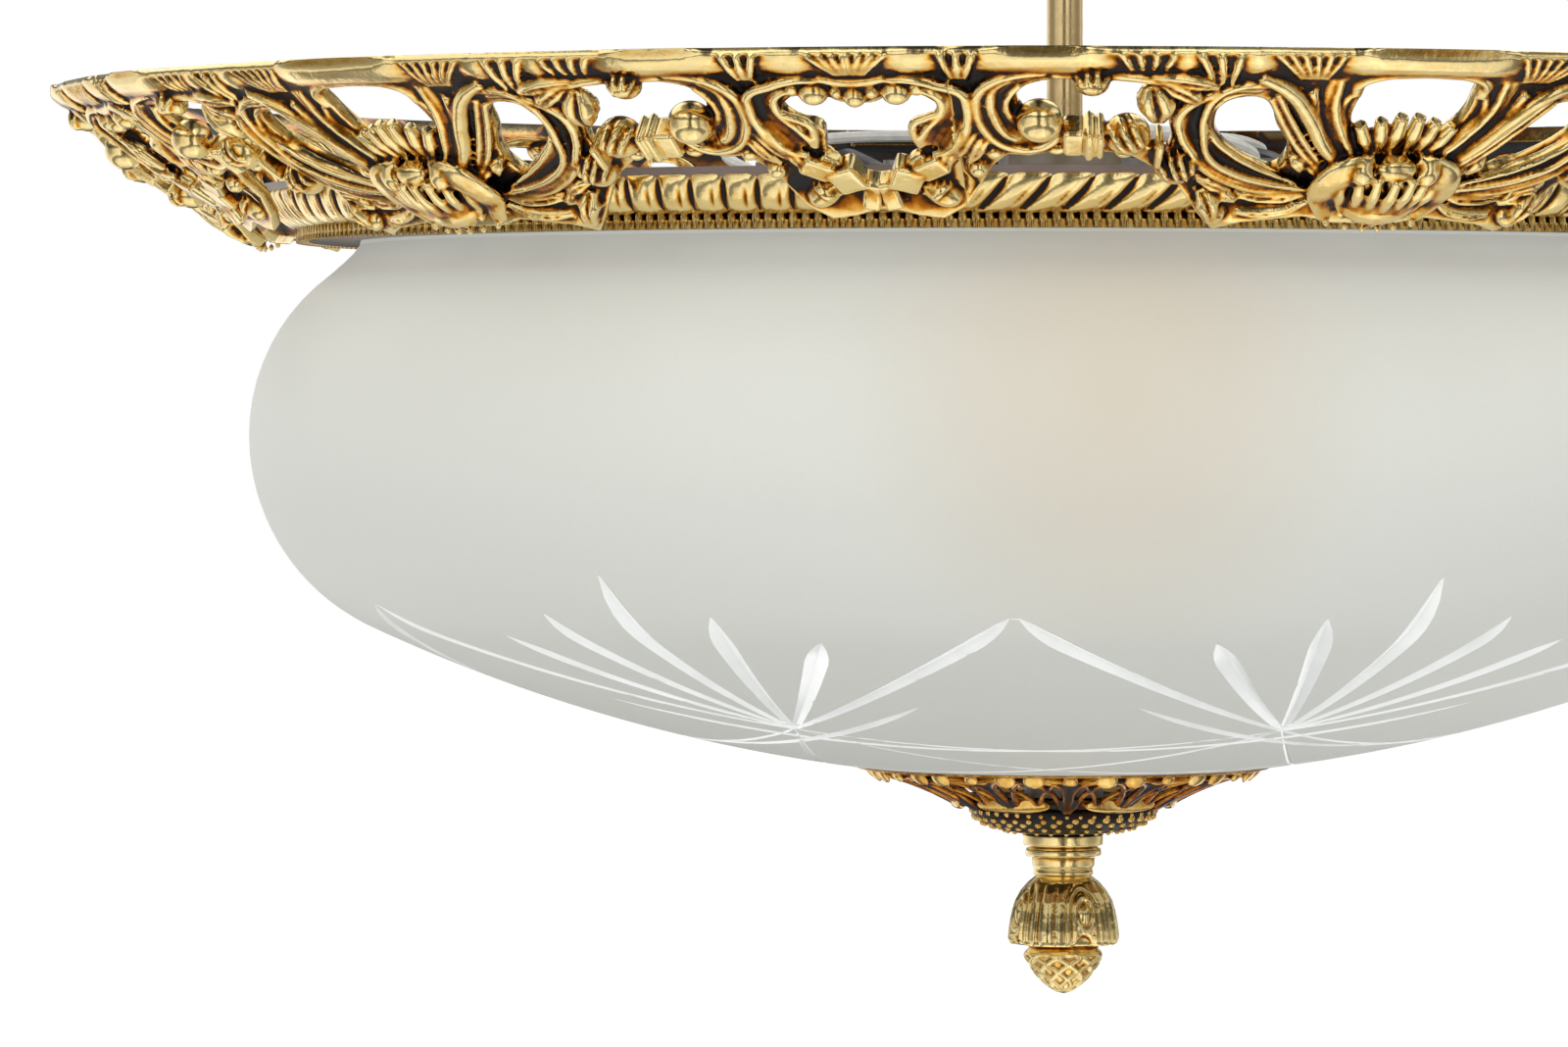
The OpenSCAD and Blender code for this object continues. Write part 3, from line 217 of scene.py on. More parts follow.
# Blocky forms of the garland, with the same columns
BLOCKS = (
    (-18.5, 42.6, 1.6, 2.6, 4.6, 3.4, 0), (-17.65, 42.4, 2.0, 1.0, 5.2, 4.4, 0),
    (-17.05, 42.4, 2.0, 0.9, 4.8, 4.2, 0), (-13.75, 38, 2.0, 1.0, 4.6, 4.0, 0),
    (-26.6, 31.2, 1.8, 4.2, 3.4, 2.8, 32), (-28.2, 26.8, 1.8, 4.2, 4.6, 3.0, -22),
    (-29.45, 20.8, 1.6, 2.6, 4.6, 2.8, 12), (-27.3, 33.4, 1.2, 2.6, 2.2, 2.0, 40),
)

# Blades over a round form: a, w, h, its radius, blade half width, then a offsets top, mid, foot
BLADES = (
    (-15.55, 43, 2.4, 5.6, 0.75, ((-1.15, -0.9, -0.2), (-0.6, -0.25, 0.45), (0, 0.4, 0.95))),
    (-12.6, 30.5, 1.8, 5.3, 0.7, ((-1.1, -1, -0.6), (-0.6, -0.4, 0.1), (-0.1, 0.2, 0.6),
                                  (0.4, 0.8, 1.0))),
    (-17.6, 64.6, 1.4, 3.9, 0.6, ((-0.8, -0.7, -0.3), (-0.3, -0.25, -0.1), (0.3, 0.25, 0.1),
                                  (0.8, 0.7, 0.3))),
    (-26.4, 20.5, 1, 3.6, 0.5, ((0.9, 0.4, -0.5), (0.5, 0, -0.8), (0.1, -0.4, -1.1),
                                (-0.3, -0.8, -1.2))),
)

# Rope and toothed ring: sizes in mm, widths of the lobes in degrees
ROPE_R, ROPE_Z, ROPE_LOBES = 210.6, 3.4, 23
ROPE_WIDE, ROPE_NARROW = 2.8, 2.42
TEETH, TEETH_R = 396, 211.0

# Bowl outline, (radius, height over the ring's foot), from the widest place down
BELLY_R, BELLY_Z = 224.7, -52.9
SHOULDER_R, SIDE_R, BOWL_Z, NECK_R, NECK_TOP = 54.5, 58.0, -148.0, 194.0, 5.7
HOLE_R = 6.0
NECK_CURVE = ((200.6, -7.4), (199.0, -5.9), (197.5, -4.5), (196.2, -3.2), (195.2, -2.0),
              (194.5, -0.8), (194.1, 0.6), (194.0, 2.4))

# Cuts: angle of the first arch's top, and the stars' radius. Steps of the wall's mesh in mm
FIRST_APEX, STAR_R = -93.5, 128
RING_STEP, POINT_STEP, WALL_STEPS = 3.6, 4.2, 144

# Glass tones in metres: the place of the painted warm patch of lamp light, and the foot and rise of the
# glass's painted glow
PAINTED_GLOW_CENTRE = (0.012, -0.215, -0.205)
PAINTED_GLOW_FOOT, PAINTED_GLOW_RISE = -0.32, 0.16

# Cap, boss, neck and acorn, (radius, height over the ring's foot)
CAP_UNDER = ((57.2, -144.9), (54.5, -145.4), (50, -146.2), (46, -147.2), (42, -148.6),
             (38, -150.0), (34.5, -151.6), (30, -153.9), (27.6, -155.2), (22, -155.3))
CAP_THICK = 1.5
CAP_SECTORS = 12
CAP_TURN = -88
BOSS_OUTLINE = ((0, -155.3), (25.4, -155.3), (26, -156.1), (25.8, -157.4), (24.6, -158.9),
                (22, -160.5), (18.5, -161.8), (14.5, -162.7), (11.2, -163.1), (0, -163.1))
NECK_OUTLINE = ((0, -163.4), (11, -163.4), (11.1, -163.8), (11.1, -166.0), (10.9, -166.4),
                (9.6, -166.7), (9.5, -167.0), (10.3, -167.3), (10.6, -167.9), (10.6, -168.9),
                (10.3, -169.4), (8.9, -169.7), (8.7, -170.0), (8.7, -171.8), (8.5, -172.5),
                (8.1, -172.8), (8.2, -173.3), (8.4, -173.8), (8.3, -174.6), (0, -174.6))
ACORN_OUTLINE = ((0, -174.9), (7.8, -174.9), (8.1, -175.2), (9.75, -176.5), (11.7, -179),
                 (13.2, -181.7), (14, -184.3), (14.6, -187), (15, -189.5), (15.2, -192.1),
                 (14.6, -193.6), (12.2, -194.2), (11.3, -194.7), (11.2, -196), (10.5, -198),
                 (9, -200.5), (7.15, -203), (4.4, -205.5), (2.2, -207), (0, -207.6))

# Bars of half a cap sector: degrees from the post, radius, drop, half width. Post: without degrees
CAP_BARS = (
    ((1.2, 28, 0.6, 1.0), (1.1, 34, 0.5, 1.0), (1.8, 41, 0.3, 1.0), (4.5, 47, 0.2, 1.0),
     (9, 50, 0.1, 0.9), (15, 50.5, 0.1, 0.8)),
    ((3.2, 29, 0.4, 0.8), (5, 34, 0.2, 0.9), (8, 40, 0, 0.9), (12, 46, 0, 0.8), (15, 49, 0, 0.8)),
    ((15, 30, 0.2, 0.8), (11, 36, 0, 0.75), (7, 42, 0, 0.75), (4.5, 47, 0, 0.8)),
    ((15.5, 51.5, 0, 0.9), (9, 52.8, 0.2, 0.9), (1, 51.5, 0.2, 0.9), (-1, 51.5, 0.2, 0.9)),
)
CAP_POST = ((27, 0.2, 1.6), (34, -0.2, 1.3), (42, -0.3, 1.5), (49, 0, 2.6))

# Rows of beads: count, radius, height, bead radius, turn
BEAD_ROWS = ((42, 25.3, -156.9, 0.95, 0), (38, 24.6, -158.3, 1.15, 3), (34, 22.6, -159.8, 1.0, 7),
             (30, 19.9, -161.2, 0.85, 2), (24, 16.4, -162.2, 0.8, 5))

# What glossy surfaces mirror: grey levels over a direction's part on an axis, from -1 to 1
REFLECTED = (
    ("X", ((0.0, 0.35), (0.10, 0.9), (0.34, 1.2), (0.43, 0.1), (0.52, 0.08), (0.60, 1.4),
           (0.71, 0.9), (0.79, 0.15), (0.9, 0.8), (1.0, 0.35))),
    ("Z", ((0.0, 1.0), (0.12, 1.0), (0.26, 0.0))),
    ("Z", ((0.0, 1.25), (0.03, 0.95), (0.09, 0.9), (0.13, 0.3), (0.19, 0.22), (0.24, 1.3),
           (0.30, 0.95), (0.54, 1.0), (0.59, 0.2), (0.66, 0.12), (0.71, 1.4), (0.88, 1.2),
           (0.95, 0.2), (1.0, 0.2))),
)

# The photograph's camera, in metres and radians, with its lens in mm
CAMERA_PLACE = (0, -2.0014, -0.2043)
CAMERA_ROLL = -0.00136
LENS = 165.66
SHIFT = (-0.17875, -0.0794)

MATERIALS = {}


def linear(red, green, blue):
    """Linear colour of an sRGB one given in 0-255."""
    return tuple((v / 255 / 12.92) if v <= 10.3 else ((v / 255 + 0.055) / 1.055) ** 2.4
                 for v in (red, green, blue))


# Settings

def length(name, description, default, low, high):
    """A length property, given in mm."""
    return FloatProperty(name=name, description=description, default=default * MM, min=low * MM,
                         max=high * MM, precision=5, unit="LENGTH")


def factor(name, description, low, high):
    """A scale that is 1 until it is changed."""
    return FloatProperty(name=name, description=description, default=1, min=low, max=high,
                         subtype="FACTOR")


def tone(name, description, red, green, blue):
    """A colour property, given in sRGB from 0 to 255."""
    return FloatVectorProperty(name=name, description=description, size=3, min=0, max=1,
                               default=linear(red, green, blue), subtype="COLOR")


def power(name, description, default):
    """A lamp's power in watts."""
    return FloatProperty(name=name, description=description, default=default, min=0, max=60,
                         unit="POWER")


class CrownSettings(bpy.types.PropertyGroup):
    """Sizes of the cast crown and of the mouldings under it"""

    fullness: factor("Stroke fullness", "Widens the ornament's strokes", 0.7, 1.4)
    skin: length("Skin size", "Grain of the skin that fuses the ornament", 0.55, 0.3, 2)
    lobe: length("Rope lobe", "How far the rope's lobes stand out", 3.1, 1, 5)
    tooth: length("Tooth", "How far the toothed ring's bars stand out", 1, 0.3, 2)


class GlassSettings(bpy.types.PropertyGroup):
    """Wall, cuts and tone of the glass bowl"""

    wall: length("Wall", "Thickness of the glass", 4.5, 3, 6)
    cut_width: factor("Cut width", "Widens the star cuts", 0.5, 1.6)
    cut_depth: factor("Cut depth", "Deepens the star cuts", 0.5, 1.4)
    frost: tone("Frost", "Tone of the frosted wall", 232, 233, 227)
    # Painted light: tone of the warm patch painted over the nearest lamp
    painted_lamp_glow: tone("Lamp tone", "Tone over the nearest lamp", 206, 188, 158)


class FinialSettings(bpy.types.PropertyGroup):
    """Sizes of the cap's and the acorn's ornament"""

    coin: length("Coin", "Half width of the cap's large coins", 3, 1.5, 3.6)
    bead: factor("Bead size", "Scales the beads of the boss", 0.6, 1.3)
    fold: length("Fold", "Depth of the folds round the acorn's eyes", 0.42, 0.1, 0.8)


class FinishSettings(bpy.types.PropertyGroup):
    """Tones of the lacquered gold and the brass"""

    # Crests: partly rubbed wear, partly a painted highlight on the highest forms
    crest_wear_and_highlight: tone("Crest", "Gold on the highest forms", 246, 220, 154)
    gold: tone("Gold", "Gold of the open forms", 232, 190, 106)
    amber: tone("Amber", "Lacquer gathered in the hollows", 158, 88, 16)
    # Crevices: dark patina deepened to near black as painted shade
    crevice_patina_and_shade: tone("Crevice", "Tone of the deepest crevices", 14, 10, 8)
    brass: tone("Brass", "Brushed brass of the rod and canopy", 246, 222, 172)


class StageSettings(bpy.types.PropertyGroup):
    """Lamps, surroundings and floor"""

    soft: FloatProperty(name="Surroundings", description="Level of the white surroundings",
                        default=0.8, min=0, max=1.5)
    key: power("Key lamp", "Power of the lamp at the left", 15)
    fill: power("Fill lamp", "Power of the lamp at the right", 12)
    top: power("Top lamp", "Power of the lamp above", 14)
    floor_drop: length("Floor", "How far the floor lies below the ceiling", 1100, 500, 3000)


SETTINGS = {"light_crown": CrownSettings, "light_glass": GlassSettings,
            "light_finial": FinialSettings, "light_finish": FinishSettings,
            "light_stage": StageSettings}


def setting(group):
    """The scene's settings of one group, such as crown."""
    return getattr(bpy.context.scene, f"light_{group}")


# Materials

class Tree:
    """A short way to lay out the node tree of a material or a world."""

    def __init__(self, owner):
        owner.use_nodes = True
        self.tree = owner.node_tree
        self.tree.nodes.clear()

    def add(self, kind, **settings):
        """A node, with its own settings and its sockets' values."""
        node = self.tree.nodes.new(kind)
        for key, value in settings.items():
            if hasattr(node, key):
                setattr(node, key, value)
            else:
                node.inputs[key].default_value = value
        return node

    def link(self, source, target):
        self.tree.links.new(source, target)

    def math(self, operation, *values, clamp=False):
        node = self.add("ShaderNodeMath", operation=operation, use_clamp=clamp)
        for socket, value in zip(node.inputs, values):
            if isinstance(value, (int, float)):
                socket.default_value = value
            else:
                self.link(value, socket)
        return node.outputs[0]

    def ramp(self, source, *stops, interpolation="LINEAR"):
        """Colours, or grey levels, at places from 0 to 1."""
        node = self.add("ShaderNodeValToRGB")
        node.color_ramp.interpolation = interpolation
        elements = node.color_ramp.elements
        while len(elements) < len(stops):
            elements.new(0.5)
        for element, (place, value) in zip(elements, stops):
            element.position = place
            element.color = (*value, 1) if isinstance(value, tuple) else (value, value, value, 1)
        self.link(source, node.inputs[0])
        return node.outputs[0]

    def blend(self, share, first, second):
        """Two shaders mixed."""
        node = self.add("ShaderNodeMixShader")
        for socket, source in zip(node.inputs, (share, first, second)):
            self.link(source, socket)
        return node.outputs[0]


class Finish(Tree):
    """A material with one principled shader on object coordinates."""

    def __init__(self, name):
        self.material = bpy.data.materials.new(name)
        super().__init__(self.material)
        self.output = self.add("ShaderNodeOutputMaterial")
        self.shader = self.add("ShaderNodeBsdfPrincipled")
        self.link(self.shader.outputs[0], self.output.inputs[0])
        self.coords = self.add("ShaderNodeTexCoord").outputs["Object"]

    def set(self, **values):
        for key, value in values.items():
            self.shader.inputs[key.replace("_", " ")].default_value = value

    def to(self, socket, source):
        self.link(source, self.shader.inputs[socket])

    def noise(self, scale, detail=4.0, roughness=0.55, stretch=None):
        node = self.add("ShaderNodeTexNoise", Scale=scale, Detail=detail, Roughness=roughness)
        vector = self.coords
        if stretch:
            mapping = self.add("ShaderNodeMapping", Scale=stretch)
            self.link(vector, mapping.inputs[0])
            vector = mapping.outputs[0]
        self.link(vector, node.inputs["Vector"])
        return node.outputs[0]

    def mix(self, share, first, second):
        """Two colours mixed."""
        node = self.add("ShaderNodeMix", data_type="RGBA")
        sockets = {s.identifier: s for s in node.inputs}
        for key, value in (("Factor_Float", share), ("A_Color", first), ("B_Color", second)):
            if isinstance(value, tuple):
                sockets[key].default_value = (*value, 1)
            else:
                self.link(value, sockets[key])
        return [s for s in node.outputs if s.identifier == "Result_Color"][0]

    def bump(self, height, strength, distance):
        """A bump on top of the bumps that are there."""
        node = self.add("ShaderNodeBump", Strength=strength, Distance=distance)
        self.link(height, node.inputs["Height"])
        if self.shader.inputs["Normal"].is_linked:
            self.link(self.shader.inputs["Normal"].links[0].from_socket, node.inputs["Normal"])
        self.link(node.outputs[0], self.shader.inputs["Normal"])


def antique_gold(name="antique_gold", cavity="cavity", bias=0.0):
    """Glossy lacquered gold: amber lacquer in the hollows, dark patina in the crevices pushed to near
    black as painted shade, and pale crests that are partly rubbed wear and partly a painted highlight.
    """
    n = Finish(name)
    tones = setting("finish")
    blotch = n.noise(95, 5, 0.62)
    fine = n.noise(700, 3, 0.6)
    level = n.add("ShaderNodeAttribute", attribute_name=cavity).outputs["Fac"]
    for grain, share in ((blotch, 0.5), (fine, 0.14)):
        level = n.math("ADD", level, n.math("MULTIPLY", n.math("SUBTRACT", grain, 0.5), share))
    level = n.math("ADD", level, 0.5 + bias, clamp=True)
    # Painted shade and highlight: the relief level takes the hollows towards near black and the crests
    # towards pale gold
    n.to("Base Color", n.ramp(level, (0.15, tuple(tones.crevice_patina_and_shade)), (0.26, linear(58, 31, 12)),
                              (0.39, tuple(tones.amber)), (0.51, linear(202, 142, 50)),
                              (0.64, tuple(tones.gold)), (0.85, tuple(tones.crest_wear_and_highlight))))
    n.to("Roughness", n.ramp(level, (0.14, 0.5), (0.36, 0.26), (0.6, 0.17)))
    n.to("Metallic", n.ramp(level, (0.1, 0.4), (0.28, 1.0)))
    n.bump(n.noise(170, 3, 0.5), 0.35, 0.7 * MM)
    n.bump(n.noise(520, 4, 0.6), 0.3, 0.2 * MM)
    return n.material


def brushed_brass():
    """Brass with a grain along the rod."""
    n = Finish("tube_brass")
    streak = n.noise(260, 4, 0.6, (1, 1, 0.02))
    n.to("Base Color", n.ramp(streak, (0.2, linear(228, 194, 132)),
                              (0.8, tuple(setting("finish").brass))))
    n.to("Roughness", n.ramp(n.noise(300, 3), (0.3, 0.2), (0.7, 0.3)))
    n.set(Metallic=1.0)
    n.bump(streak, 0.1, 0.1 * MM)
    return n.material


def plain(name, dark, light, scale, rough, metal=0.0, **extra):
    """A finish with two near tones and a fine grain."""
    n = Finish(name)
    grain = n.noise(scale, 5, 0.6)
    n.to("Base Color", n.ramp(grain, (0.3, linear(*dark)), (0.7, linear(*light))))
    n.to("Roughness", n.ramp(grain, (0.3, rough[0]), (0.7, rough[1])))
    n.set(Metallic=metal, **extra)
    n.bump(n.noise(scale * 8, 3, 0.6), 0.1, 0.1 * MM)
    return n.material


def frosted_glass():
    """Frosted wall: a painted glow (emission) that rises towards the neck, and a painted warm patch of
    light over the nearest lamp.
    """
    n = Finish("frosted_glass")
    glass = setting("glass")
    cloud = n.noise(9, 4, 0.6)
    speck = n.noise(1500, 2, 0.6)
    colour = n.mix(n.math("MULTIPLY", speck, 0.25), linear(214, 215, 208), tuple(glass.frost))
    colour = n.mix(n.math("MULTIPLY", cloud, 0.12), colour, linear(206, 208, 200))
    # Painted light: a warm patch, the glow of the nearest lamp, painted on the glass round a fixed
    # place
    lamp = n.add("ShaderNodeVectorMath", operation="DISTANCE")
    n.link(n.coords, lamp.inputs[0])
    lamp.inputs[1].default_value = PAINTED_GLOW_CENTRE
    near = n.ramp(lamp.outputs["Value"], (0.0, 0.5), (0.02, 0.36), (0.075, 0.0),
                  interpolation="EASE")
    colour = n.mix(near, colour, tuple(glass.painted_lamp_glow))
    n.to("Base Color", colour)
    n.set(Roughness=0.5, IOR=1.45, Transmission_Weight=0.12, Specular_IOR_Level=0.3)
    # Painted glow: emission that grows towards the neck, standing in for light coming through the glass
    split = n.add("ShaderNodeSeparateXYZ")
    n.link(n.coords, split.inputs[0])
    lit = n.math("MULTIPLY_ADD", split.outputs["Z"], 1 / PAINTED_GLOW_RISE, -PAINTED_GLOW_FOOT / PAINTED_GLOW_RISE)
    n.to("Emission Strength", n.ramp(lit, (0.0, 0.05), (0.55, 0.08), (0.8, 0.17), (1.0, 0.28)))
    n.to("Emission Color", colour)
    n.bump(speck, 0.2, 0.2 * MM)
    return n.material


def cut_glass():
    """Polished cuts, made brighter than the frosted wall by a painted white glow (emission)."""
    n = Finish("cut_glass")
    n.to("Base Color", n.ramp(n.noise(40, 3), (0.3, linear(226, 230, 226)),
                              (0.7, linear(246, 248, 246))))
    # Painted glow: white emission that brightens the cuts, though they are no lamp
    n.set(Roughness=0.12, IOR=1.5, Transmission_Weight=0.15, Emission_Strength=0.17,
          Emission_Color=(1, 1, 1, 1))
    n.bump(n.noise(1200, 2), 0.08, 0.1 * MM)
    return n.material


# Plain finishes: dark tone, light tone, grain scale, roughness from and to, and metal
PLAIN_FINISHES = {
    # Gallery band: its own mauve-grey metal, set dark to the tone it shows in shade, so partly painted
    # shade
    "band_bronze": ((112, 96, 92), (140, 124, 118), 60, (0.3, 0.4), 0.35),
    "zinc": ((150, 154, 156), (196, 199, 200), 120, (0.25, 0.4), 1.0),
    "holder_black": ((16, 16, 17), (34, 34, 36), 300, (0.35, 0.5)),
    "cable_white": ((206, 204, 198), (226, 224, 218), 300, (0.4, 0.55)),
    "terminal": ((214, 208, 190), (230, 225, 210), 300, (0.4, 0.5)),
    "earth": ((150, 116, 52), (198, 164, 84), 200, (0.25, 0.4), 1.0),
    "seal": ((180, 180, 176), (204, 204, 200), 200, (0.5, 0.65)),
}


def make_finishes():
    """Fill MATERIALS with the light's finishes."""
    m = MATERIALS
    m["antique_gold"] = antique_gold()
    m["plain_gold"] = antique_gold("plain_gold", cavity="none", bias=0.12)
    m["dark_gold"] = antique_gold("dark_gold", bias=-0.34)
    m["cap_gold"] = antique_gold("cap_gold", bias=-0.36)
    m["tube_brass"] = brushed_brass()
    for name, looks in PLAIN_FINISHES.items():
        m[name] = plain(name, *looks)
    m["frosted_glass"] = frosted_glass()
    m["cut_glass"] = cut_glass()
    m["bulb_glass"] = plain("bulb_glass", (244, 240, 228), (252, 249, 240), 60, (0.2, 0.3),
                            Transmission_Weight=0.1)


class LIGHT_OT_finishes(bpy.types.Operator):
    """Mix the finishes and give every carried-over node its own"""

    bl_idname = "light.finishes"
    bl_label = "Finishes"

    def execute(self, context):
        make_finishes()
        slot_of = {row["node"]: row["material_slot"] for row in frame["record"]["subparts"]}
        for name, node in frame["nodes"].items():
            slot = slot_of[name]
            node.data.materials.clear()
            node.data.materials.append(MATERIALS["plain_gold" if slot == "antique_gold" else slot])
        return {"FINISHED"}


# Helpers

def scratch(name, data):
    """An object in the scene that holds the data."""
    piece = bpy.data.objects.new(name, data)
    bpy.context.scene.collection.objects.link(piece)
    return piece


def make_object(name, mesh, body, slot, *materials, smooth=True):
    """Link a finished mesh, in metres and in place, and let it ride on a body."""
    for material in materials:
        mesh.materials.append(MATERIALS[material])
    if smooth:
        mesh.shade_smooth()
    piece = scratch(name, mesh)
    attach(piece, body)
    return piece


def discard(*pieces):
    """Remove objects, and their data once nothing uses it."""
    for piece in pieces:
        data = piece.data
        bpy.data.objects.remove(piece)
        if data.users == 0:
            (bpy.data.meshes if isinstance(data, bpy.types.Mesh) else bpy.data.curves).remove(data)


def mesh_of(bm, name):
    """A mesh from a bmesh, which is freed."""
    mesh = bpy.data.meshes.new(name)
    bm.to_mesh(mesh)
    bm.free()
    return mesh


def evaluated_mesh(piece):
    """A plain mesh of a piece as its modifiers leave it."""
    depsgraph = bpy.context.evaluated_depsgraph_get()
    depsgraph.update()
    return bpy.data.meshes.new_from_object(piece.evaluated_get(depsgraph), depsgraph=depsgraph)


def vertex_array(mesh, key="co"):
    """Places or normals of a mesh's vertices."""
    flat = np.empty(len(mesh.vertices) * 3)
    mesh.vertices.foreach_get(key, flat)
    return flat.reshape(-1, 3)


def put_vertices(mesh, places):
    mesh.vertices.foreach_set("co", np.asarray(places, float).ravel())
    mesh.update()


def relief_depth(mesh, rounds, reach):
    """How far each vertex stands above its smoothed surroundings, along its normal, over reach."""
    places = vertex_array(mesh)
    count = len(places)
    edges = np.empty(len(mesh.edges) * 2, dtype=np.int64)
    mesh.edges.foreach_get("vertices", edges)
    edges = edges.reshape(-1, 2)
    ends = np.concatenate([edges[:, 0], edges[:, 1]])
    others = np.concatenate([edges[:, 1], edges[:, 0]])
    degree = np.maximum(np.bincount(ends, minlength=count), 1)
    smooth = places.copy()
    for _ in range(rounds):
        smooth = np.stack([np.bincount(ends, weights=smooth[others, k], minlength=count) / degree
                           for k in range(3)], axis=1)
    depth = ((places - smooth) * vertex_array(mesh, "normal")).sum(axis=1) / reach
    return np.clip(depth, -1, 1)


def write_cavity(mesh, values):
    """Store how far each vertex stands out or lies sunk, for the gold's tones: painted shade in the
    hollows and a painted highlight on the crests, on top of the patina and wear.
    """
    layer = mesh.attributes.new("cavity", "FLOAT", "POINT")
    layer.data.foreach_set("value", np.asarray(values, float))


def lengths(points):
    """Length along an outline at each of its points."""
    return np.concatenate([[0], np.cumsum(np.hypot(*np.diff(points, axis=0).T))])


def placed(profile):
    """Outline in metres from (radius, height over the ring's foot) points in mm."""
    return [(x * MM, (z + RING_Z) * MM) for x, z in profile]


def spun(profile, steps, closed=False):
    """Bmesh of an outline turned once round the light's axis."""
    bm = bmesh.new()
    points = [bm.verts.new((x, 0, z)) for x, z in profile]
    lines = [bm.edges.new(pair) for pair in zip(points, points[1:] + points[:1] * closed)]
    bmesh.ops.spin(bm, geom=points + lines, cent=(0, 0, 0), axis=(0, 0, 1), angle=2 * math.pi,
                   steps=steps, use_merge=True)
    return bm


def turned_to(degrees, axis="Z"):
    return Matrix.Rotation(math.radians(degrees), 4, axis)


# Crown

def oval(height, count):
    """A profile of an oval one unit wide on each side."""
    angles = np.linspace(0, 2 * math.pi, count + 1)[:-1]
    return [(math.cos(t), height * math.sin(t)) for t in angles]


PROFILES = {
    "round": oval(1, 12),
    "flat": oval(0.42, 16),
    "trough": [(-1, -0.4), (-1.03, 0.05), (-0.92, 0.3), (-0.74, 0.32), (-0.5, 0.1), (-0.2, -0.04),
               (0.2, -0.04), (0.5, 0.1), (0.74, 0.32), (0.92, 0.3), (1.03, 0.05), (1, -0.4)],
    "band": [(-1, -0.5), (-1, 0.02), (-0.85, 0.16), (-0.4, 0.29), (0.1, 0.32), (0.6, 0.24),
             (0.92, 0.1), (1, -0.04), (1, -0.5)],
    "petal": oval(0.66, 14),
    "leaf": [(-1, -0.5), (-0.85, 0.05), (-0.5, 0.42), (-0.22, 0.4), (0, 0.08), (0.22, 0.4),
             (0.5, 0.42), (0.85, 0.05), (1, -0.5)],
}
FULLER = {"round": 1.32, "leaf": 1.22}


def flat_place(a, w, h):
    """Place on the flat pattern of a point that the eye sees at w while it stands h off the plate."""
    return Vector((a * DEG_MM, w + LEAN * h, h))


def stroke_curve(kind, strokes):
    """One mesh that holds every stroke of one profile."""
    profile = bpy.data.curves.new(f"profile_{kind}", "CURVE")
    profile.dimensions = "2D"
    spline = profile.splines.new("POLY")
    spline.points.add(len(PROFILES[kind]) - 1)
    for point, (x, y) in zip(spline.points, PROFILES[kind]):
        point.co = (x, y, 0, 1)
    spline.use_cyclic_u = True
    section = scratch(f"profile_{kind}", profile)
    curve = bpy.data.curves.new(f"strokes_{kind}", "CURVE")
    curve.dimensions = "3D"
    curve.resolution_u = 8
    curve.twist_mode = "Z_UP"
    curve.bevel_mode = "OBJECT"
    curve.bevel_object = section
    curve.use_fill_caps = True
    for points in strokes:
        spline = curve.splines.new("BEZIER")
        spline.bezier_points.add(len(points) - 1)
        for knot, (place, radius) in zip(spline.bezier_points, points):
            knot.co = place
            knot.handle_left_type = knot.handle_right_type = "AUTO"
            knot.radius = radius
    piece = scratch(f"strokes_{kind}", curve)
    mesh = evaluated_mesh(piece)
    discard(piece, section)
    return mesh


def flute_strokes():
    """Tapered bars between the two ends of each fan."""
    for count, top0, top1, foot0, foot1, r, h in FLUTES:
        for t in np.linspace(0, 1, count):
            top, foot = (np.array(p) + (np.array(q) - p) * t for p, q in ((top0, top1), (foot0, foot1)))
            yield [(flat_place(*top, h - 0.4), r * 0.8),
                   (flat_place(*(top + foot) / 2, h + 0.2), r),
                   (flat_place(*foot, h), r * 0.65)]


def blade_strokes():
    """Blades that lie over the round forms, from top to foot."""
    for a, w, h, ball, r, runs in BLADES:
        for top, mid, foot in runs:
            points = []
            for tilt, side in zip((65, 32, 0, -32, -65),
                                  (top, (top + mid) / 2, mid, (mid + foot) / 2, foot)):
                x = side * DEG_MM
                reach = math.sqrt(max(ball * ball - x * x, 1))
                s, c = math.sin(math.radians(tilt)), math.cos(math.radians(tilt))
                over = Vector((x, reach * (0.82 * c + 0.57 * s), reach * (0.57 * c - 0.82 * s)))
                points.append((flat_place(a, w, h) + over, r * (0.45 if abs(tilt) > 60 else 1)))
            yield points


def all_strokes():
    """Every stroke of the half pattern, grouped by profile."""
    groups = {kind: [] for kind in PROFILES}
    for kind, *points in STROKES:
        fuller = FULLER.get(kind, 1) * setting("crown").fullness
        groups[kind].append([(flat_place(a, w, h), r * fuller) for a, w, h, r in points])
    groups["round"] += [*flute_strokes(), *blade_strokes()]
    return groups


def plate_mesh():
    """Pierced plate of the half pattern."""
    curve = bpy.data.curves.new("plate", "CURVE")
    curve.dimensions = "2D"
    curve.fill_mode = "BOTH"
    curve.resolution_u = 6
    curve.extrude = PLATE_BACK / 2 - 0.5
    curve.bevel_depth = 0.5
    curve.bevel_resolution = 1
    for outline, kind in [(PLATE_EDGE, "VECTOR")] + [(w, "AUTO") for w in WINDOWS]:
        spline = curve.splines.new("BEZIER")
        spline.bezier_points.add(len(outline) - 1)
        spline.use_cyclic_u = True
        for knot, (a, w) in zip(spline.bezier_points, outline):
            knot.co = (a * DEG_MM, w, 0)
            knot.handle_left_type = knot.handle_right_type = kind
    piece = scratch("plate", curve)
    mesh = evaluated_mesh(piece)
    discard(piece)
    mesh.transform(Matrix.Translation((0, 0, PLATE_FRONT - PLATE_BACK / 2)))
    return mesh


def form_place(a, w, h, rx, ry, rz, turn):
    """Matrix that puts a unit form on the pattern."""
    return (Matrix.Translation(flat_place(a, w, h)) @ turned_to(turn)
            @ Matrix.Diagonal((rx, ry, rz, 1)))


